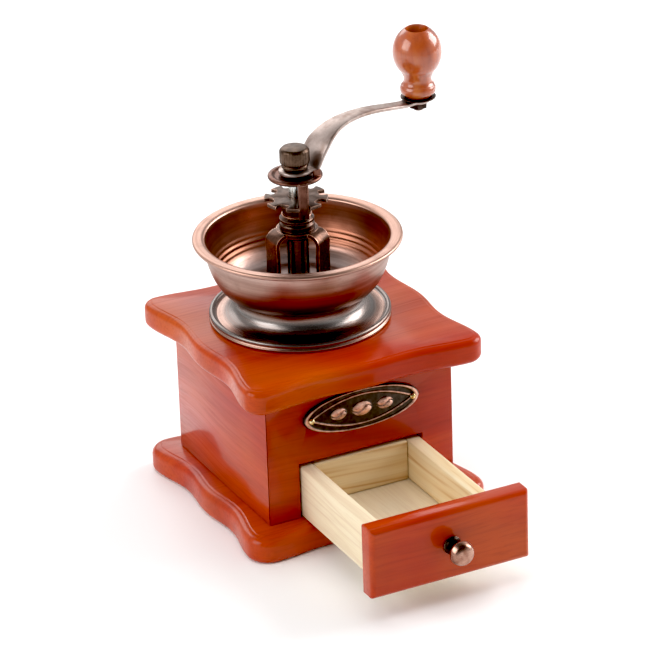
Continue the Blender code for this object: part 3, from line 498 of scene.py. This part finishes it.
def joined(meshes):
    """Several meshes as one."""
    whole = bmesh.new()
    for mesh in meshes:
        data = bpy.data.meshes.new("joining")
        mesh.to_mesh(data)
        mesh.free()
        whole.from_mesh(data)
        bpy.data.meshes.remove(data)
    return whole


# ================================================================ pieces

def new_object(name, mesh, angle=35):
    """A smooth-shaded object from a mesh, with its edges above an angle left sharp."""
    data = bpy.data.meshes.new(name)
    mesh.to_mesh(data)
    mesh.free()
    data.shade_smooth()
    data.set_sharp_from_angle(angle=radians(angle))
    piece = bpy.data.objects.new(name, data)
    bpy.context.collection.objects.link(piece)
    return piece


def stand_for(piece, node, body):
    """The piece takes a CAD node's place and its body."""
    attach(piece, body)
    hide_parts(node)
    return piece


def softened(node, body, width=0.4 * MM, steps=3):
    """A copy of a CAD node with its flat faces made whole and its edges rounded."""
    mesh = bmesh.new()
    mesh.from_mesh(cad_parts[node].data)
    bmesh.ops.remove_doubles(mesh, verts=mesh.verts, dist=1e-6)
    bmesh.ops.dissolve_limit(mesh, angle_limit=radians(1), verts=mesh.verts, edges=mesh.edges)
    return stand_for(new_object(node + "_fine", rounded(mesh, width, steps, 25), 40), node, body)


def turned_node(node, body, profile, steps=SMALL, place=(0, 0, 0)):
    """A turned piece, its profile in world heights, that takes a node's place."""
    mesh = shifted(lathe(profile, steps), place)
    return stand_for(new_object(node + "_fine", mesh), node, body)


def washer(node, body, hole, edge, place=(0, 0, 0)):
    """A flat ring that fills a node's box, with rounded edges."""
    low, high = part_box(node)
    radius = (high.x - low.x) / 2
    outer = arc((radius - edge, high.z - edge), edge, 90, 0, 5)
    outer += arc((radius - edge, low.z + edge), edge, 0, -90, 5)
    return turned_node(node, body, outer + [(hole, low.z), (hole, high.z)], place=place)


# ================================================================ wooden box

SIDE_DIP = 4 * MM
FRONT_DIP = 2.5 * MM
LEDGE = 0.3 * MM            # a small step where a board's flat face meets its rounded edge


def wavy_outline(half, corner):
    """The board's plan: round corners, and sides that dip twice and swell at their middle."""
    reach = half - corner
    steps = 48
    points = []
    for side in range(4):
        dip = FRONT_DIP if side % 2 == 0 else SIDE_DIP
        turn = Matrix.Rotation(side * pi / 2, 2)
        edge = []
        for i in range(1, steps):
            along = 2 * i / steps - 1
            inwards = 0.75 * dip * sin(pi * along) ** 2 + 0.5 * dip * cos(pi * along / 2) ** 2
            edge.append(Vector((along * reach, inwards - half)))
        edge += [Vector(p) for p in arc((reach, -reach), corner, -90, 0, 14)]
        points += [turn @ p for p in edge]
    return points


def inset(outline, amount):
    """The outline moved inwards by an amount."""
    result = []
    for i, here in enumerate(outline):
        along = (outline[(i + 1) % len(outline)] - outline[i - 1]).normalized()
        result.append(here + Vector((-along.y, along.x)) * amount)
    return result


def board_edge(low, high, top_round, low_round):
    """(how far in, how high) up a board's edge, from its underside to its top."""
    shoulder = high - LEDGE
    under = [(low_round * (1 - sin(radians(a))), low + low_round * (1 - cos(radians(a))))
             for a in range(0, 91, 15)]
    over = [(top_round * (1 - cos(radians(a))), shoulder - top_round * (1 - sin(radians(a))))
            for a in range(0, 91, 10)]
    step = [(top_round + 0.5 * LEDGE, shoulder + 0.25 * LEDGE),
            (top_round + 1.3 * LEDGE, shoulder + 0.8 * LEDGE), (top_round + 2 * LEDGE, high)]
    return under + over + step


def wavy_board(node, corner, top_round, low_round, hole=0.0):
    """A board with a rounded-over upper edge, a rounded lower edge, and an optional hole for the mill."""
    low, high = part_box(node)
    middle = box_middle()
    outline = wavy_outline((high.x - low.x) / 2, corner)
    mesh = bmesh.new()
    rows = []
    for amount, height in board_edge(low.z, high.z, top_round, low_round):
        plan = inset(outline, amount)
        rows.append([mesh.verts.new((p.x + middle.x, p.y + middle.y, height)) for p in plan])
    bridge(mesh, rows)
    circles = []
    if hole:
        circle = arc((0, 0), hole, 0, 360, SMALL)[:-1]
        for height in (high.z, low.z):
            circles.append([mesh.verts.new((x, y, height)) for x, y in circle])
        bridge(mesh, circles)
    for end, row in enumerate((rows[-1], rows[0])):
        rims = [row] + ([circles[end]] if hole else [])
        edges = [mesh.edges.get((rim[k - 1], rim[k])) for rim in rims for k in range(len(rim))]
        bmesh.ops.triangle_fill(mesh, use_beauty=True, edges=edges)
    bmesh.ops.recalc_face_normals(mesh, faces=mesh.faces)
    return stand_for(new_object(node + "_fine", mesh, 50), node, "mill")


def make_box():
    """The two wavy boards and the four walls between them."""
    base = wavy_board("base_board", corner=10 * MM, top_round=4 * MM, low_round=2.4 * MM)
    red_wood(base, "X", seed=0.3, orange=0.3, coat=0.4)
    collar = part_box("outer_burr")[1].x + 0.6 * MM
    top = wavy_board("top_board", corner=8 * MM, top_round=2.8 * MM, low_round=3.4 * MM, hole=collar)
    red_wood(top, "X", seed=0.9, orange=0.5, coat=0.3)
    for node, axis, seed in (("front_wall", "X", 1.7), ("back_wall", "X", 2.6), ("left_wall", "Y", 3.1),
                             ("right_wall", "Y", 4.2)):
        red_wood(softened(node, "mill", 0.12 * MM), axis, seed)
    for node in ("drawer_guide_left", "drawer_guide_right"):
        pale_wood(softened(node, "mill"), "Y", seed=5.0)
    for number in (1, 2, 3, 4):
        steel(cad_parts[f"base_screw_{number}"])


# ================================================================ badge

GROUND_DEPTH = 0.7 * MM     # how far the plate's flat ground lies behind the front of its CAD solid
LINE = 0.42 * MM            # about half the width of a raised line, and of a bean's furrow
BEAN_HALF = (4.9 * MM, 3.5 * MM)    # half the length and half the height of the middle bean
BEAN_SPACING = 11.5 * MM
SIDE_BEAN = 0.82            # the size of the outer two beans beside the middle one


def ridge(distance):
    """The height, from 0 to 1, of a rounded ridge across a line."""
    return exp(-(distance / LINE) ** 2)


def bean_relief(x, z, half_length, half_height):
    """A coffee bean lying on the plate: an oval mound with a curved furrow along its middle."""
    u, v = x / half_length, z / half_height
    room = 1 - u * u - v * v
    if room <= 0:
        return 0.0
    mound, groove = 1.1 * MM, 0.55 * MM
    furrow = ridge(z - 0.35 * half_height * sin(pi * u))
    return sqrt(room) * mound - groove * furrow * min(1.0, 3 * room)


def badge_relief(x, z, half_width, half_height):
    """Height above the ground: a rim, a pointed border inside it, and three coffee beans."""
    out = sqrt((x / half_width) ** 2 + (z / half_height) ** 2)
    rim = 0.55 * MM * ridge((out - 0.955) * half_height)
    reach, swell = half_width - 3.2 * MM, half_height - 2.6 * MM
    height = swell * max(0.0, 1 - (x / reach) ** 2)
    slope = 2 * swell * abs(x) / reach ** 2
    border = 0.6 * MM * ridge((abs(z) - height) / sqrt(1 + slope * slope))
    beans = 0.0
    for place, size in ((-BEAN_SPACING, SIDE_BEAN), (0.0, 1.0), (BEAN_SPACING, SIDE_BEAN)):
        beans = max(beans, bean_relief(x - place, z, BEAN_HALF[0] * size, BEAN_HALF[1] * size))
    return max(rim, border, beans)


def make_badge():
    """The oval plate in low relief, worn bright where it stands forward."""
    low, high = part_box("badge")
    middle = (low + high) / 2
    half_width, half_height = (high.x - low.x) / 2, (high.z - low.z) / 2
    ground = low.y + GROUND_DEPTH
    rings, spokes = 56, 220
    edge_start = 0.97
    mesh = bmesh.new()
    rows = []
    for i in range(1, rings + 1):
        out = i / rings
        rounding = 0.5 * MM * max(0.0, (out - edge_start) / (1 - edge_start)) ** 2
        row = []
        for x, z in arc((0, 0), (half_width * out, half_height * out), 0, 360, spokes)[:-1]:
            depth = ground - badge_relief(x, z, half_width, half_height) + rounding
            row.append(mesh.verts.new((middle.x + x, depth, middle.z + z)))
        rows.append(row)
    rows.append([mesh.verts.new((v.co.x, high.y, v.co.z)) for v in rows[-1]])
    plate = stand_for(new_object("badge_fine", capped(mesh, rows), 60), "badge", "mill")
    dark_copper(plate, wear=0.45 * MM, dark=(0.05, 0.04, 0.032), rough=0.40,
                raised=(ground - 0.22 * MM, ground - 0.5 * MM))


def make_badge_nails():
    """The two round-headed nails that hold the badge."""
    for node in ("badge_nail_left", "badge_nail_right"):
        low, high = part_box(node)
        radius, head = (high.x - low.x) / 2, 1 * MM
        shank, length = radius * 0.45, 3 * MM
        profile = [(shank, -length), (shank, -0.2 * MM), (radius, -0.2 * MM)]
        profile += arc((0, 0), (radius, head), 0, 90, 8) + [(0, -length)]
        mesh = turned_about(lathe(profile, 24), pi / 2, "X")
        shifted(mesh, ((low.x + high.x) / 2, low.y + head, (low.z + high.z) / 2))
        brass(stand_for(new_object(node + "_fine", mesh), node, "mill"))


# ================================================================ hopper

WAIST = 27.5 * MM           # radius where the bowl stands on its foot
MOUTH = 41.3 * MM           # the bowl's inner radius at its rim
THROAT = 13.5 * MM          # radius of the hole that the beans fall through


def make_foot():
    """The flared foot ring, with a bead and a plain skirt round its edge."""
    low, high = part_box("hopper_foot")
    radius = high.x
    rim = low.z + 4 * MM
    sheet = 1.3 * MM
    dip = (radius - 3.6 * MM, low.z + 2.4 * MM)
    flare = curve((WAIST, high.z), (WAIST - 0.4 * MM, high.z - 5 * MM),
                  (WAIST + 2 * MM, dip[1] + 0.4 * MM), dip, 28)
    bead = 1.15 * MM
    skirt, hem = radius - 0.45 * MM, 0.65 * MM
    lip = arc((radius - bead - 0.1 * MM, rim - bead), bead, 165, -60, 18)
    lip += [(skirt - 0.3 * MM, rim - 2.3 * MM), (skirt, low.z + 2 * hem)]
    lip += arc((skirt, low.z + hem), (0.4 * MM, hem), 90, -90, 8)
    inner = radius - sheet
    inside = [(inner, low.z), (inner, rim - 2.2 * MM), (dip[0] + 0.8 * MM, dip[1] - sheet)]
    under = [(r - sheet * 0.75, z - sheet * 0.75) for r, z in reversed(flare[1:])]
    mouth = THROAT + 1 * MM
    top = [(WAIST - sheet, high.z - sheet), (mouth, high.z - sheet), (mouth, high.z)]
    foot = turned_node("hopper_foot", "mill", flare + lip + inside + under + top, FINE)
    # copper on the bead and skirt is the plating's own tone; the dark grey band and grey flare above it are
    # partly painted dark reflection
    foot_tones_and_painted_reflection = [(0.0, (0.46, 0.29, 0.235)), (0.225, (0.44, 0.29, 0.24)), (0.265, (0.20, 0.18, 0.17)),
             (0.60, (0.30, 0.285, 0.275)), (0.9, (0.24, 0.16, 0.13))]
    copper_with_painted_light(foot, foot_tones_and_painted_reflection, foot_tones_and_painted_reflection, rough=0.24)


def bowl_inside(low, high, wall):
    """The bowl's inner profile from its mouth down, with turned ridges in a band half-way."""
    smooth = curve((MOUTH, high - 0.9 * MM), (MOUTH - 1.7 * MM, high - 10 * MM),
                   (WAIST + 9 * MM, low + 4 * MM), (WAIST - wall, low + wall), 96)
    band_height, band_half = low + 10 * MM, 5 * MM
    ridged = []
    for r, z in smooth:
        strength = max(0.0, 1 - abs(z - band_height) / band_half)
        ridged.append((r + 0.14 * MM * strength * sin(z / (0.35 * MM)), z))
    return ridged


def make_bowl():
    """The open bowl: a wide flat rim, a steep wall and a sloping floor."""
    low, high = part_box("hopper_bowl")
    radius = high.x
    wall = 1.5 * MM
    bead = 1 * MM
    rim = [(MOUTH + 0.5 * MM, high.z - 0.35 * MM), (MOUTH + 1.6 * MM, high.z - 0.05 * MM)]
    rim += arc((radius - bead, high.z - bead), bead, 90, -90, 12)
    outside = curve((MOUTH + 1 * MM, high.z - 2 * MM), (MOUTH - 0.3 * MM, high.z - 11 * MM),
                    (WAIST + 10.5 * MM, low.z + 2.5 * MM), (WAIST, low.z), 48)
    floor = [(THROAT, low.z), (THROAT, low.z + wall - 0.3 * MM), (THROAT + 0.5 * MM, low.z + wall)]
    inside = bowl_inside(low.z, high.z, wall)
    bowl = turned_node("hopper_bowl", "mill", rim + outside + floor + inside[::-1], FINE)
    # painted shade and reflection: the outside darkens and reddens towards its underside
    outer_painted_light_tones = [(0.0, (0.24, 0.10, 0.07)), (0.25, (0.32, 0.15, 0.10)), (0.55, (0.40, 0.25, 0.20)),
                   (0.9, (0.54, 0.38, 0.33))]
    # painted light: a pale floor as painted reflection, darker walls as painted shade, lighter again under
    # the rim
    inner_painted_light_tones = [(0.08, (0.82, 0.66, 0.62)), (0.16, (0.74, 0.54, 0.48)), (0.30, (0.46, 0.20, 0.13)),
                   (0.88, (0.50, 0.20, 0.125)), (0.955, (0.62, 0.38, 0.30))]
    copper_with_painted_light(bowl, outer_painted_light_tones, inner_painted_light_tones, rough=0.32)


# ================================================================ mill

LOCK_ANGLE = radians(-100)      # where the lock plate's tab points
CRANK_ANGLE = radians(12.7)     # where the arm points
SHAFT_HOLE = 3.4 * MM


def make_bush():
    """The bush that the spindle turns in: a plain sleeve with a moulded head."""
    low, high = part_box("spindle_bush")
    radius = high.x
    sleeve, bore = 5.4 * MM, 4.1 * MM
    head = high.z - 6 * MM
    profile = [(sleeve, low.z), (sleeve, head), (radius, head)]
    profile += arc((radius - 0.8 * MM, head + 1.6 * MM), (0.8 * MM, 1.2 * MM), -20, 70, 6)
    profile += [(radius - 1.0 * MM, head + 3.2 * MM), (radius - 0.2 * MM, head + 3.7 * MM),
                (radius - 0.2 * MM, high.z - 1.2 * MM), (radius - 1.5 * MM, high.z)]
    bush = turned_node("spindle_bush", "mill", profile + [(bore, high.z), (bore, low.z)])
    dark_copper(bush, wear=0.4 * MM, dark=(0.075, 0.045, 0.035), rough=0.3)


def make_spindle():
    """The spindle: brown below the top of the bush, and thinner and bright above it."""
    low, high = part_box("spindle")
    shaft, thin = high.x, 3.1 * MM
    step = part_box("spindle_bush")[1].z - 0.8 * MM
    profile = [(0, high.z), (thin - 0.4 * MM, high.z), (thin, high.z - 0.4 * MM), (thin, step)]
    profile += [(shaft, step), (shaft, low.z + 0.5 * MM), (shaft - 0.5 * MM, low.z), (0, low.z)]
    steel(turned_node("spindle", "crank", profile), dark_below=step)


def make_mill():
    """Everything on the spindle's axis below the lock plate."""
    bracket = softened("spindle_bracket", "mill")
    dark_copper(bracket, wear=0.7 * MM, dark=(0.085, 0.045, 0.032), rough=0.3)
    make_bush()
    nut = softened("adjusting_nut", "adjuster", 0.35 * MM, 2)
    dark_copper(nut, wear=0.5 * MM, dark=(0.10, 0.066, 0.052), rough=0.4)
    copper(washer("thrust_washer", "adjuster", SHAFT_HOLE, 0.25 * MM))
    make_spindle()
    for number in (1, 2, 3):
        dark_copper(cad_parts[f"mill_bolt_{number}"])
        steel(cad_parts[f"mill_nut_{number}"])
    for node in ("outer_burr", "inner_burr", "bearing_spider"):
        iron(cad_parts[node])


def channel(half, inner, outer, wall):
    """A U-shaped section in plan, open away from the axis."""
    return [(inner, -half), (outer, -half), (outer, wall - half), (inner + wall, wall - half),
            (inner + wall, half - wall), (outer, half - wall), (outer, half), (inner, half)]


def make_lock_plate():
    """The dished washer with its channel-shaped tab and two ears."""
    low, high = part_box("lock_plate")
    radius = high.x
    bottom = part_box("crank_arm")[0].z - 2.2 * MM
    top = bottom + 1.6 * MM
    dished = top - 0.5 * MM
    profile = [(SHAFT_HOLE, bottom), (SHAFT_HOLE, dished), (radius - 3.4 * MM, dished)]
    profile += curve((radius - 2.6 * MM, top - 0.4 * MM), (radius - 2.1 * MM, top - 0.1 * MM),
                     (radius - 2.0 * MM, top), (radius - 1.4 * MM, top), 6)
    bead = 0.85 * MM
    profile += arc((radius - bead, top - bead), bead, 60, -90, 12)
    tab_plan = channel(2.3 * MM, radius - 1.3 * MM, radius + 0.4 * MM, 0.75 * MM)
    tab = rounded(upright(tab_plan, low.z, bottom + 0.9 * MM), 0.2 * MM)
    parts = [lathe(profile), turned_about(tab, LOCK_ANGLE)]
    near, far = 3.4 * MM, 7.2 * MM
    for side in (-1, 1):
        inner, outer = sorted((side * 7.9 * MM, side * 9.3 * MM))
        ear_plan = [(near, inner), (far, inner), (far, outer), (near, outer)]
        ear = rounded(upright(ear_plan, bottom + 0.6 * MM, high.z), 0.45 * MM)
        parts.append(turned_about(ear, CRANK_ANGLE))
    plate = stand_for(new_object("lock_plate_fine", joined(parts)), "lock_plate", "crank")
    dark_copper(plate, wear=0.35 * MM, dark=(0.13, 0.062, 0.046), rough=0.34)


def knurled(mesh, radius, flutes, depth):
    """The mesh with flutes cut into its widest part."""
    for point in mesh.verts:
        flat = Vector((point.co.x, point.co.y))
        if flat.length > radius - 0.1 * MM:
            wave = 0.5 + 0.5 * cos(flutes * flat.angle_signed(Vector((1, 0))))
            shrink = 1 - depth * wave / radius
            point.co.x *= shrink
            point.co.y *= shrink
    return mesh


def make_cap_nut():
    """The knurled cap nut with its grooved neck, and the washer under it."""
    low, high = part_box("cap_nut")
    radius = high.x
    head = high.z - 8 * MM
    neck = 5.9 * MM
    profile = [(0, high.z), (radius - 1.5 * MM, high.z), (radius - 1.1 * MM, high.z - 0.12 * MM),
               (radius - 0.25 * MM, high.z - 1.0 * MM), (radius, high.z - 1.5 * MM)]
    profile += [(radius, head + 1.6 * MM), (radius - 0.3 * MM, head + 0.9 * MM), (neck, head + 0.5 * MM)]
    for k in range(3):
        top = head + 0.4 * MM - k * (head - low.z) / 3
        profile += arc((neck - 0.35 * MM, top - 0.85 * MM), (0.5 * MM, 0.75 * MM), 80, -80, 6)
    profile += [(neck - 0.3 * MM, low.z), (SHAFT_HOLE, low.z), (SHAFT_HOLE, high.z - 3 * MM),
                (0, high.z - 3 * MM)]
    flutes = 30
    mesh = knurled(lathe(profile, flutes * 8), radius, flutes, 0.16 * MM)
    nut = stand_for(new_object("cap_nut_fine", mesh, 50), "cap_nut", "crank")
    dark_copper(nut, wear=0.3 * MM, dark=(0.085, 0.055, 0.04), rough=0.36)
    ring = washer("spring_washer", "crank", SHAFT_HOLE, 0.5 * MM)
    dark_copper(ring, wear=0.2 * MM, dark=(0.05, 0.034, 0.028), rough=0.4)


# ================================================================ crank and knob

CRANK_LENGTH = 72 * MM
ARM_SHEET = 1.8 * MM
ARM_HUB = 7.3 * MM          # radius of the arm's round end on the spindle
ARM_PAD = 5.2 * MM          # and of its round end under the knob
KNOB_PLACE = Vector((CRANK_LENGTH * cos(CRANK_ANGLE), CRANK_LENGTH * sin(CRANK_ANGLE), 0))
KNOB_BORE = 2.6 * MM
KNOB_IRON = (0.05, 0.035, 0.03)     # the dark metal of the knob's pin, washer and nut


def arm_half_width(radius):
    """The arm narrows from its bend to the knob, and both its ends are round."""
    narrow, widening, bend, fade = 3.2 * MM, 4.1 * MM, 14 * MM, 13 * MM
    body = narrow + widening * exp(-max(radius - bend, 0) / fade)
    if radius < 0:
        return sqrt(max(ARM_HUB ** 2 - radius ** 2, 0))
    from_knob = radius - CRANK_LENGTH
    if from_knob > -ARM_PAD * 0.95:
        round_end = sqrt(max(ARM_PAD ** 2 - from_knob ** 2, 0))
        return round_end if from_knob > 0 else max(round_end, body)
    return body


def arm_path(level, end_height):
    """The arm's middle from hub to knob, as (distance out, height): flat, up in an S, then a long arch."""
    rise = level + 16.4 * MM
    bend_end = (31 * MM, rise)
    hub_end, pad_end = ARM_HUB - 0.05 * MM, ARM_PAD - 0.05 * MM
    hub = [(-hub_end * cos(radians(a)), level) for a in range(6, 91, 7)]
    bend = curve((6.8 * MM, level), (10.6 * MM, level + 2 * MM), (12.4 * MM, rise - 1 * MM), bend_end, 48)
    arch = curve(bend_end, (43 * MM, rise + 0.9 * MM), (53 * MM, end_height + 1.2 * MM),
                 (CRANK_LENGTH - 9 * MM, end_height), 32)[1:]
    pad = [(CRANK_LENGTH - pad_end * cos(radians(a)), end_height) for a in range(10, 175, 8)]
    return hub + bend + arch + pad


def arm_section(radius):
    """(across, up) round the arm's section: round corners and a slightly crowned top."""
    half = max(arm_half_width(radius), 0.4 * MM)
    corner = min(0.55 * MM, half * 0.5)
    crown = 0.25 * MM
    section = []
    for cx, cz, start in ((1, 1, 0), (-1, 1, 90), (-1, -1, 180), (1, -1, 270)):
        centre = (cx * (half - corner), cz * (ARM_SHEET / 2 - corner))
        section += arc(centre, corner, start, start + 90, 3)
    return [(across, up - crown * (across / half) ** 2 if up > 0 else up) for across, up in section]


def make_arm():
    """The bent arm: a rounded strip swept from the spindle to the knob."""
    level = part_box("crank_arm")[0].z + ARM_SHEET / 2
    end_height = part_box("knob_washer")[0].z - GAP - ARM_SHEET / 2
    path = arm_path(level, end_height)
    mesh = bmesh.new()
    rows = []
    for i, (out, height) in enumerate(path):
        along = (Vector(path[min(i + 1, len(path) - 1)]) - Vector(path[max(i - 1, 0)])).normalized()
        rows.append([mesh.verts.new((out - along.y * up, across, height + along.x * up))
                     for across, up in arm_section(out)])
    strip = turned_about(capped(mesh, rows), CRANK_ANGLE)
    arm = stand_for(new_object("crank_arm_fine", strip, 50), "crank_arm", "crank")
    copper(arm, bright=(0.58, 0.48, 0.44), deep=(0.36, 0.26, 0.22), patina=0.25, turned=False, rough=0.42)


def make_knob():
    """The turned knob: a ball, a waist and a foot, bored through for its pin."""
    low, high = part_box("crank_knob")
    bottom = low.z
    half_ball = 12.4 * MM
    ball_top, ball_bottom = 62, -44
    narrow = 6.1 * MM
    centre = (0, high.z - half_ball * sin(radians(ball_top)))
    ball = arc(centre, ((high.x - low.x) / 2, half_ball), ball_top, ball_bottom, 40)
    waist = curve(ball[-1], (narrow + 0.2 * MM, bottom + 9.6 * MM), (narrow - 0.7 * MM, bottom + 7.4 * MM),
                  (narrow + 1.3 * MM, bottom + 5.5 * MM), 24)[1:]
    foot = arc((narrow + 0.1 * MM, bottom + 3.3 * MM), (1.9 * MM, 2.6 * MM), 50, -70, 16)
    foot += [(narrow + 0.3 * MM, bottom + 0.3 * MM), (narrow, bottom)]
    seat, recess = high.z - 7 * MM, 5 * MM
    bore = [(KNOB_BORE, bottom), (KNOB_BORE, seat), (recess, seat), (recess, ball[0][1] - 0.4 * MM)]
    knob_wood(turned_node("crank_knob", "knob", ball + waist + foot + bore, 96, KNOB_PLACE))


def make_knob_fittings():
    """The washer under the knob, the pin through it and the nut under the arm."""
    ring = washer("knob_washer", "crank", KNOB_BORE, 0.25 * MM, KNOB_PLACE)
    dark_copper(ring, wear=0.2 * MM, dark=KNOB_IRON, rough=0.4)
    low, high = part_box("knob_pin")
    head, head_radius, shank = high.z - 2 * MM, 4.2 * MM, 2.3 * MM
    profile = [(0, high.z)] + arc((0, head + 0.9 * MM), (head_radius, 1.1 * MM), 88, 0, 10)
    profile += [(head_radius, head), (shank, head), (shank, low.z + 0.3 * MM), (shank - 0.3 * MM, low.z),
                (0, low.z)]
    pin = turned_node("knob_pin", "crank", profile, 48, KNOB_PLACE)
    dark_copper(pin, wear=0.3 * MM, dark=KNOB_IRON, rough=0.4)
    nut = softened("knob_nut", "crank", 0.25 * MM, 2)
    dark_copper(nut, wear=0.3 * MM, dark=KNOB_IRON, rough=0.4)


# ================================================================ drawer

def make_drawer_front():
    """The panel, with broad rounded edges."""
    low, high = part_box("drawer_front")
    mesh = upright([(low.x, low.y), (high.x, low.y), (high.x, high.y), (low.x, high.y)], low.z, high.z)
    front = [e for e in mesh.edges if max(v.co.y for v in e.verts) < low.y + 0.1 * MM]
    bmesh.ops.bevel(mesh, geom=front, offset=2.6 * MM, segments=8, profile=0.5, affect="EDGES")
    rounded(mesh, 0.7 * MM, steps=4, clamp=False)
    panel = stand_for(new_object("drawer_front_fine", mesh, 40), "drawer_front", "drawer")
    red_wood(panel, "X", seed=6.3)


def pull_piece(name, profile):
    """One turned part of the pull, laid forward and set against the drawer's front."""
    low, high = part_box("drawer_pull")
    mesh = turned_about(lathe(profile, SMALL), pi / 2, "X")
    shifted(mesh, ((low.x + high.x) / 2, high.y, (low.z + high.z) / 2))
    return stand_for(new_object("drawer_pull_" + name, mesh), "drawer_pull", "drawer")


def make_pull():
    """The mushroom-shaped pull: a dark waisted stem and a copper cap."""
    low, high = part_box("drawer_pull")
    radius = (high.x - low.x) / 2
    length = high.y - low.y
    neck, flange = 2.9 * MM, 4.2 * MM
    cap_low = length - 5.4 * MM
    stem_high = cap_low - 0.1 * MM
    stem = [(0, 0.05 * MM), (flange, 0.05 * MM), (flange, 0.7 * MM)]
    stem += curve((3.9 * MM, 1.1 * MM), (neck, 1.9 * MM), (neck, cap_low - 1.6 * MM),
                  (3.5 * MM, stem_high), 12)
    dark_copper(pull_piece("stem", stem + [(0, stem_high)]),
                wear=0.3 * MM, dark=(0.03, 0.022, 0.018), rough=0.35)
    cap = [(0, cap_low), (radius - 1.6 * MM, cap_low)]
    cap += arc((radius - 1.2 * MM, cap_low + 1.3 * MM), (1.2 * MM, 1.3 * MM), -90, 30, 8)
    cap += curve((radius - 0.5 * MM, length - 2.2 * MM), (radius - 1.2 * MM, length - 0.6 * MM),
                 (3.2 * MM, length), (0, length), 14)
    copper(pull_piece("cap", cap), bright=(0.62, 0.38, 0.30), deep=(0.28, 0.13, 0.09), patina=0.4,
           turned=False)


def make_drawer():
    """The pale tray, its red front and its pull."""
    for node, axis, seed, honey in (("drawer_side_left", "Y", 0.1, 0.35),
                                    ("drawer_side_right", "Y", 0.7, 0.9),
                                    ("drawer_back", "X", 1.3, 0.9),
                                    ("drawer_floor", "Y", 2.1, 0.2)):
        pale_wood(softened(node, "drawer", 0.5 * MM), axis, seed, honey)
    make_drawer_front()
    make_pull()
    steel(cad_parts["drawer_pull_screw"])


# ================================================================ the whole scene

make_camera()
set_tones()
make_lights()
make_room()
make_table()
make_box()
make_badge()
make_badge_nails()
make_foot()
make_bowl()
make_mill()
make_lock_plate()
make_cap_nut()
make_arm()
make_knob()
make_knob_fittings()
make_drawer()
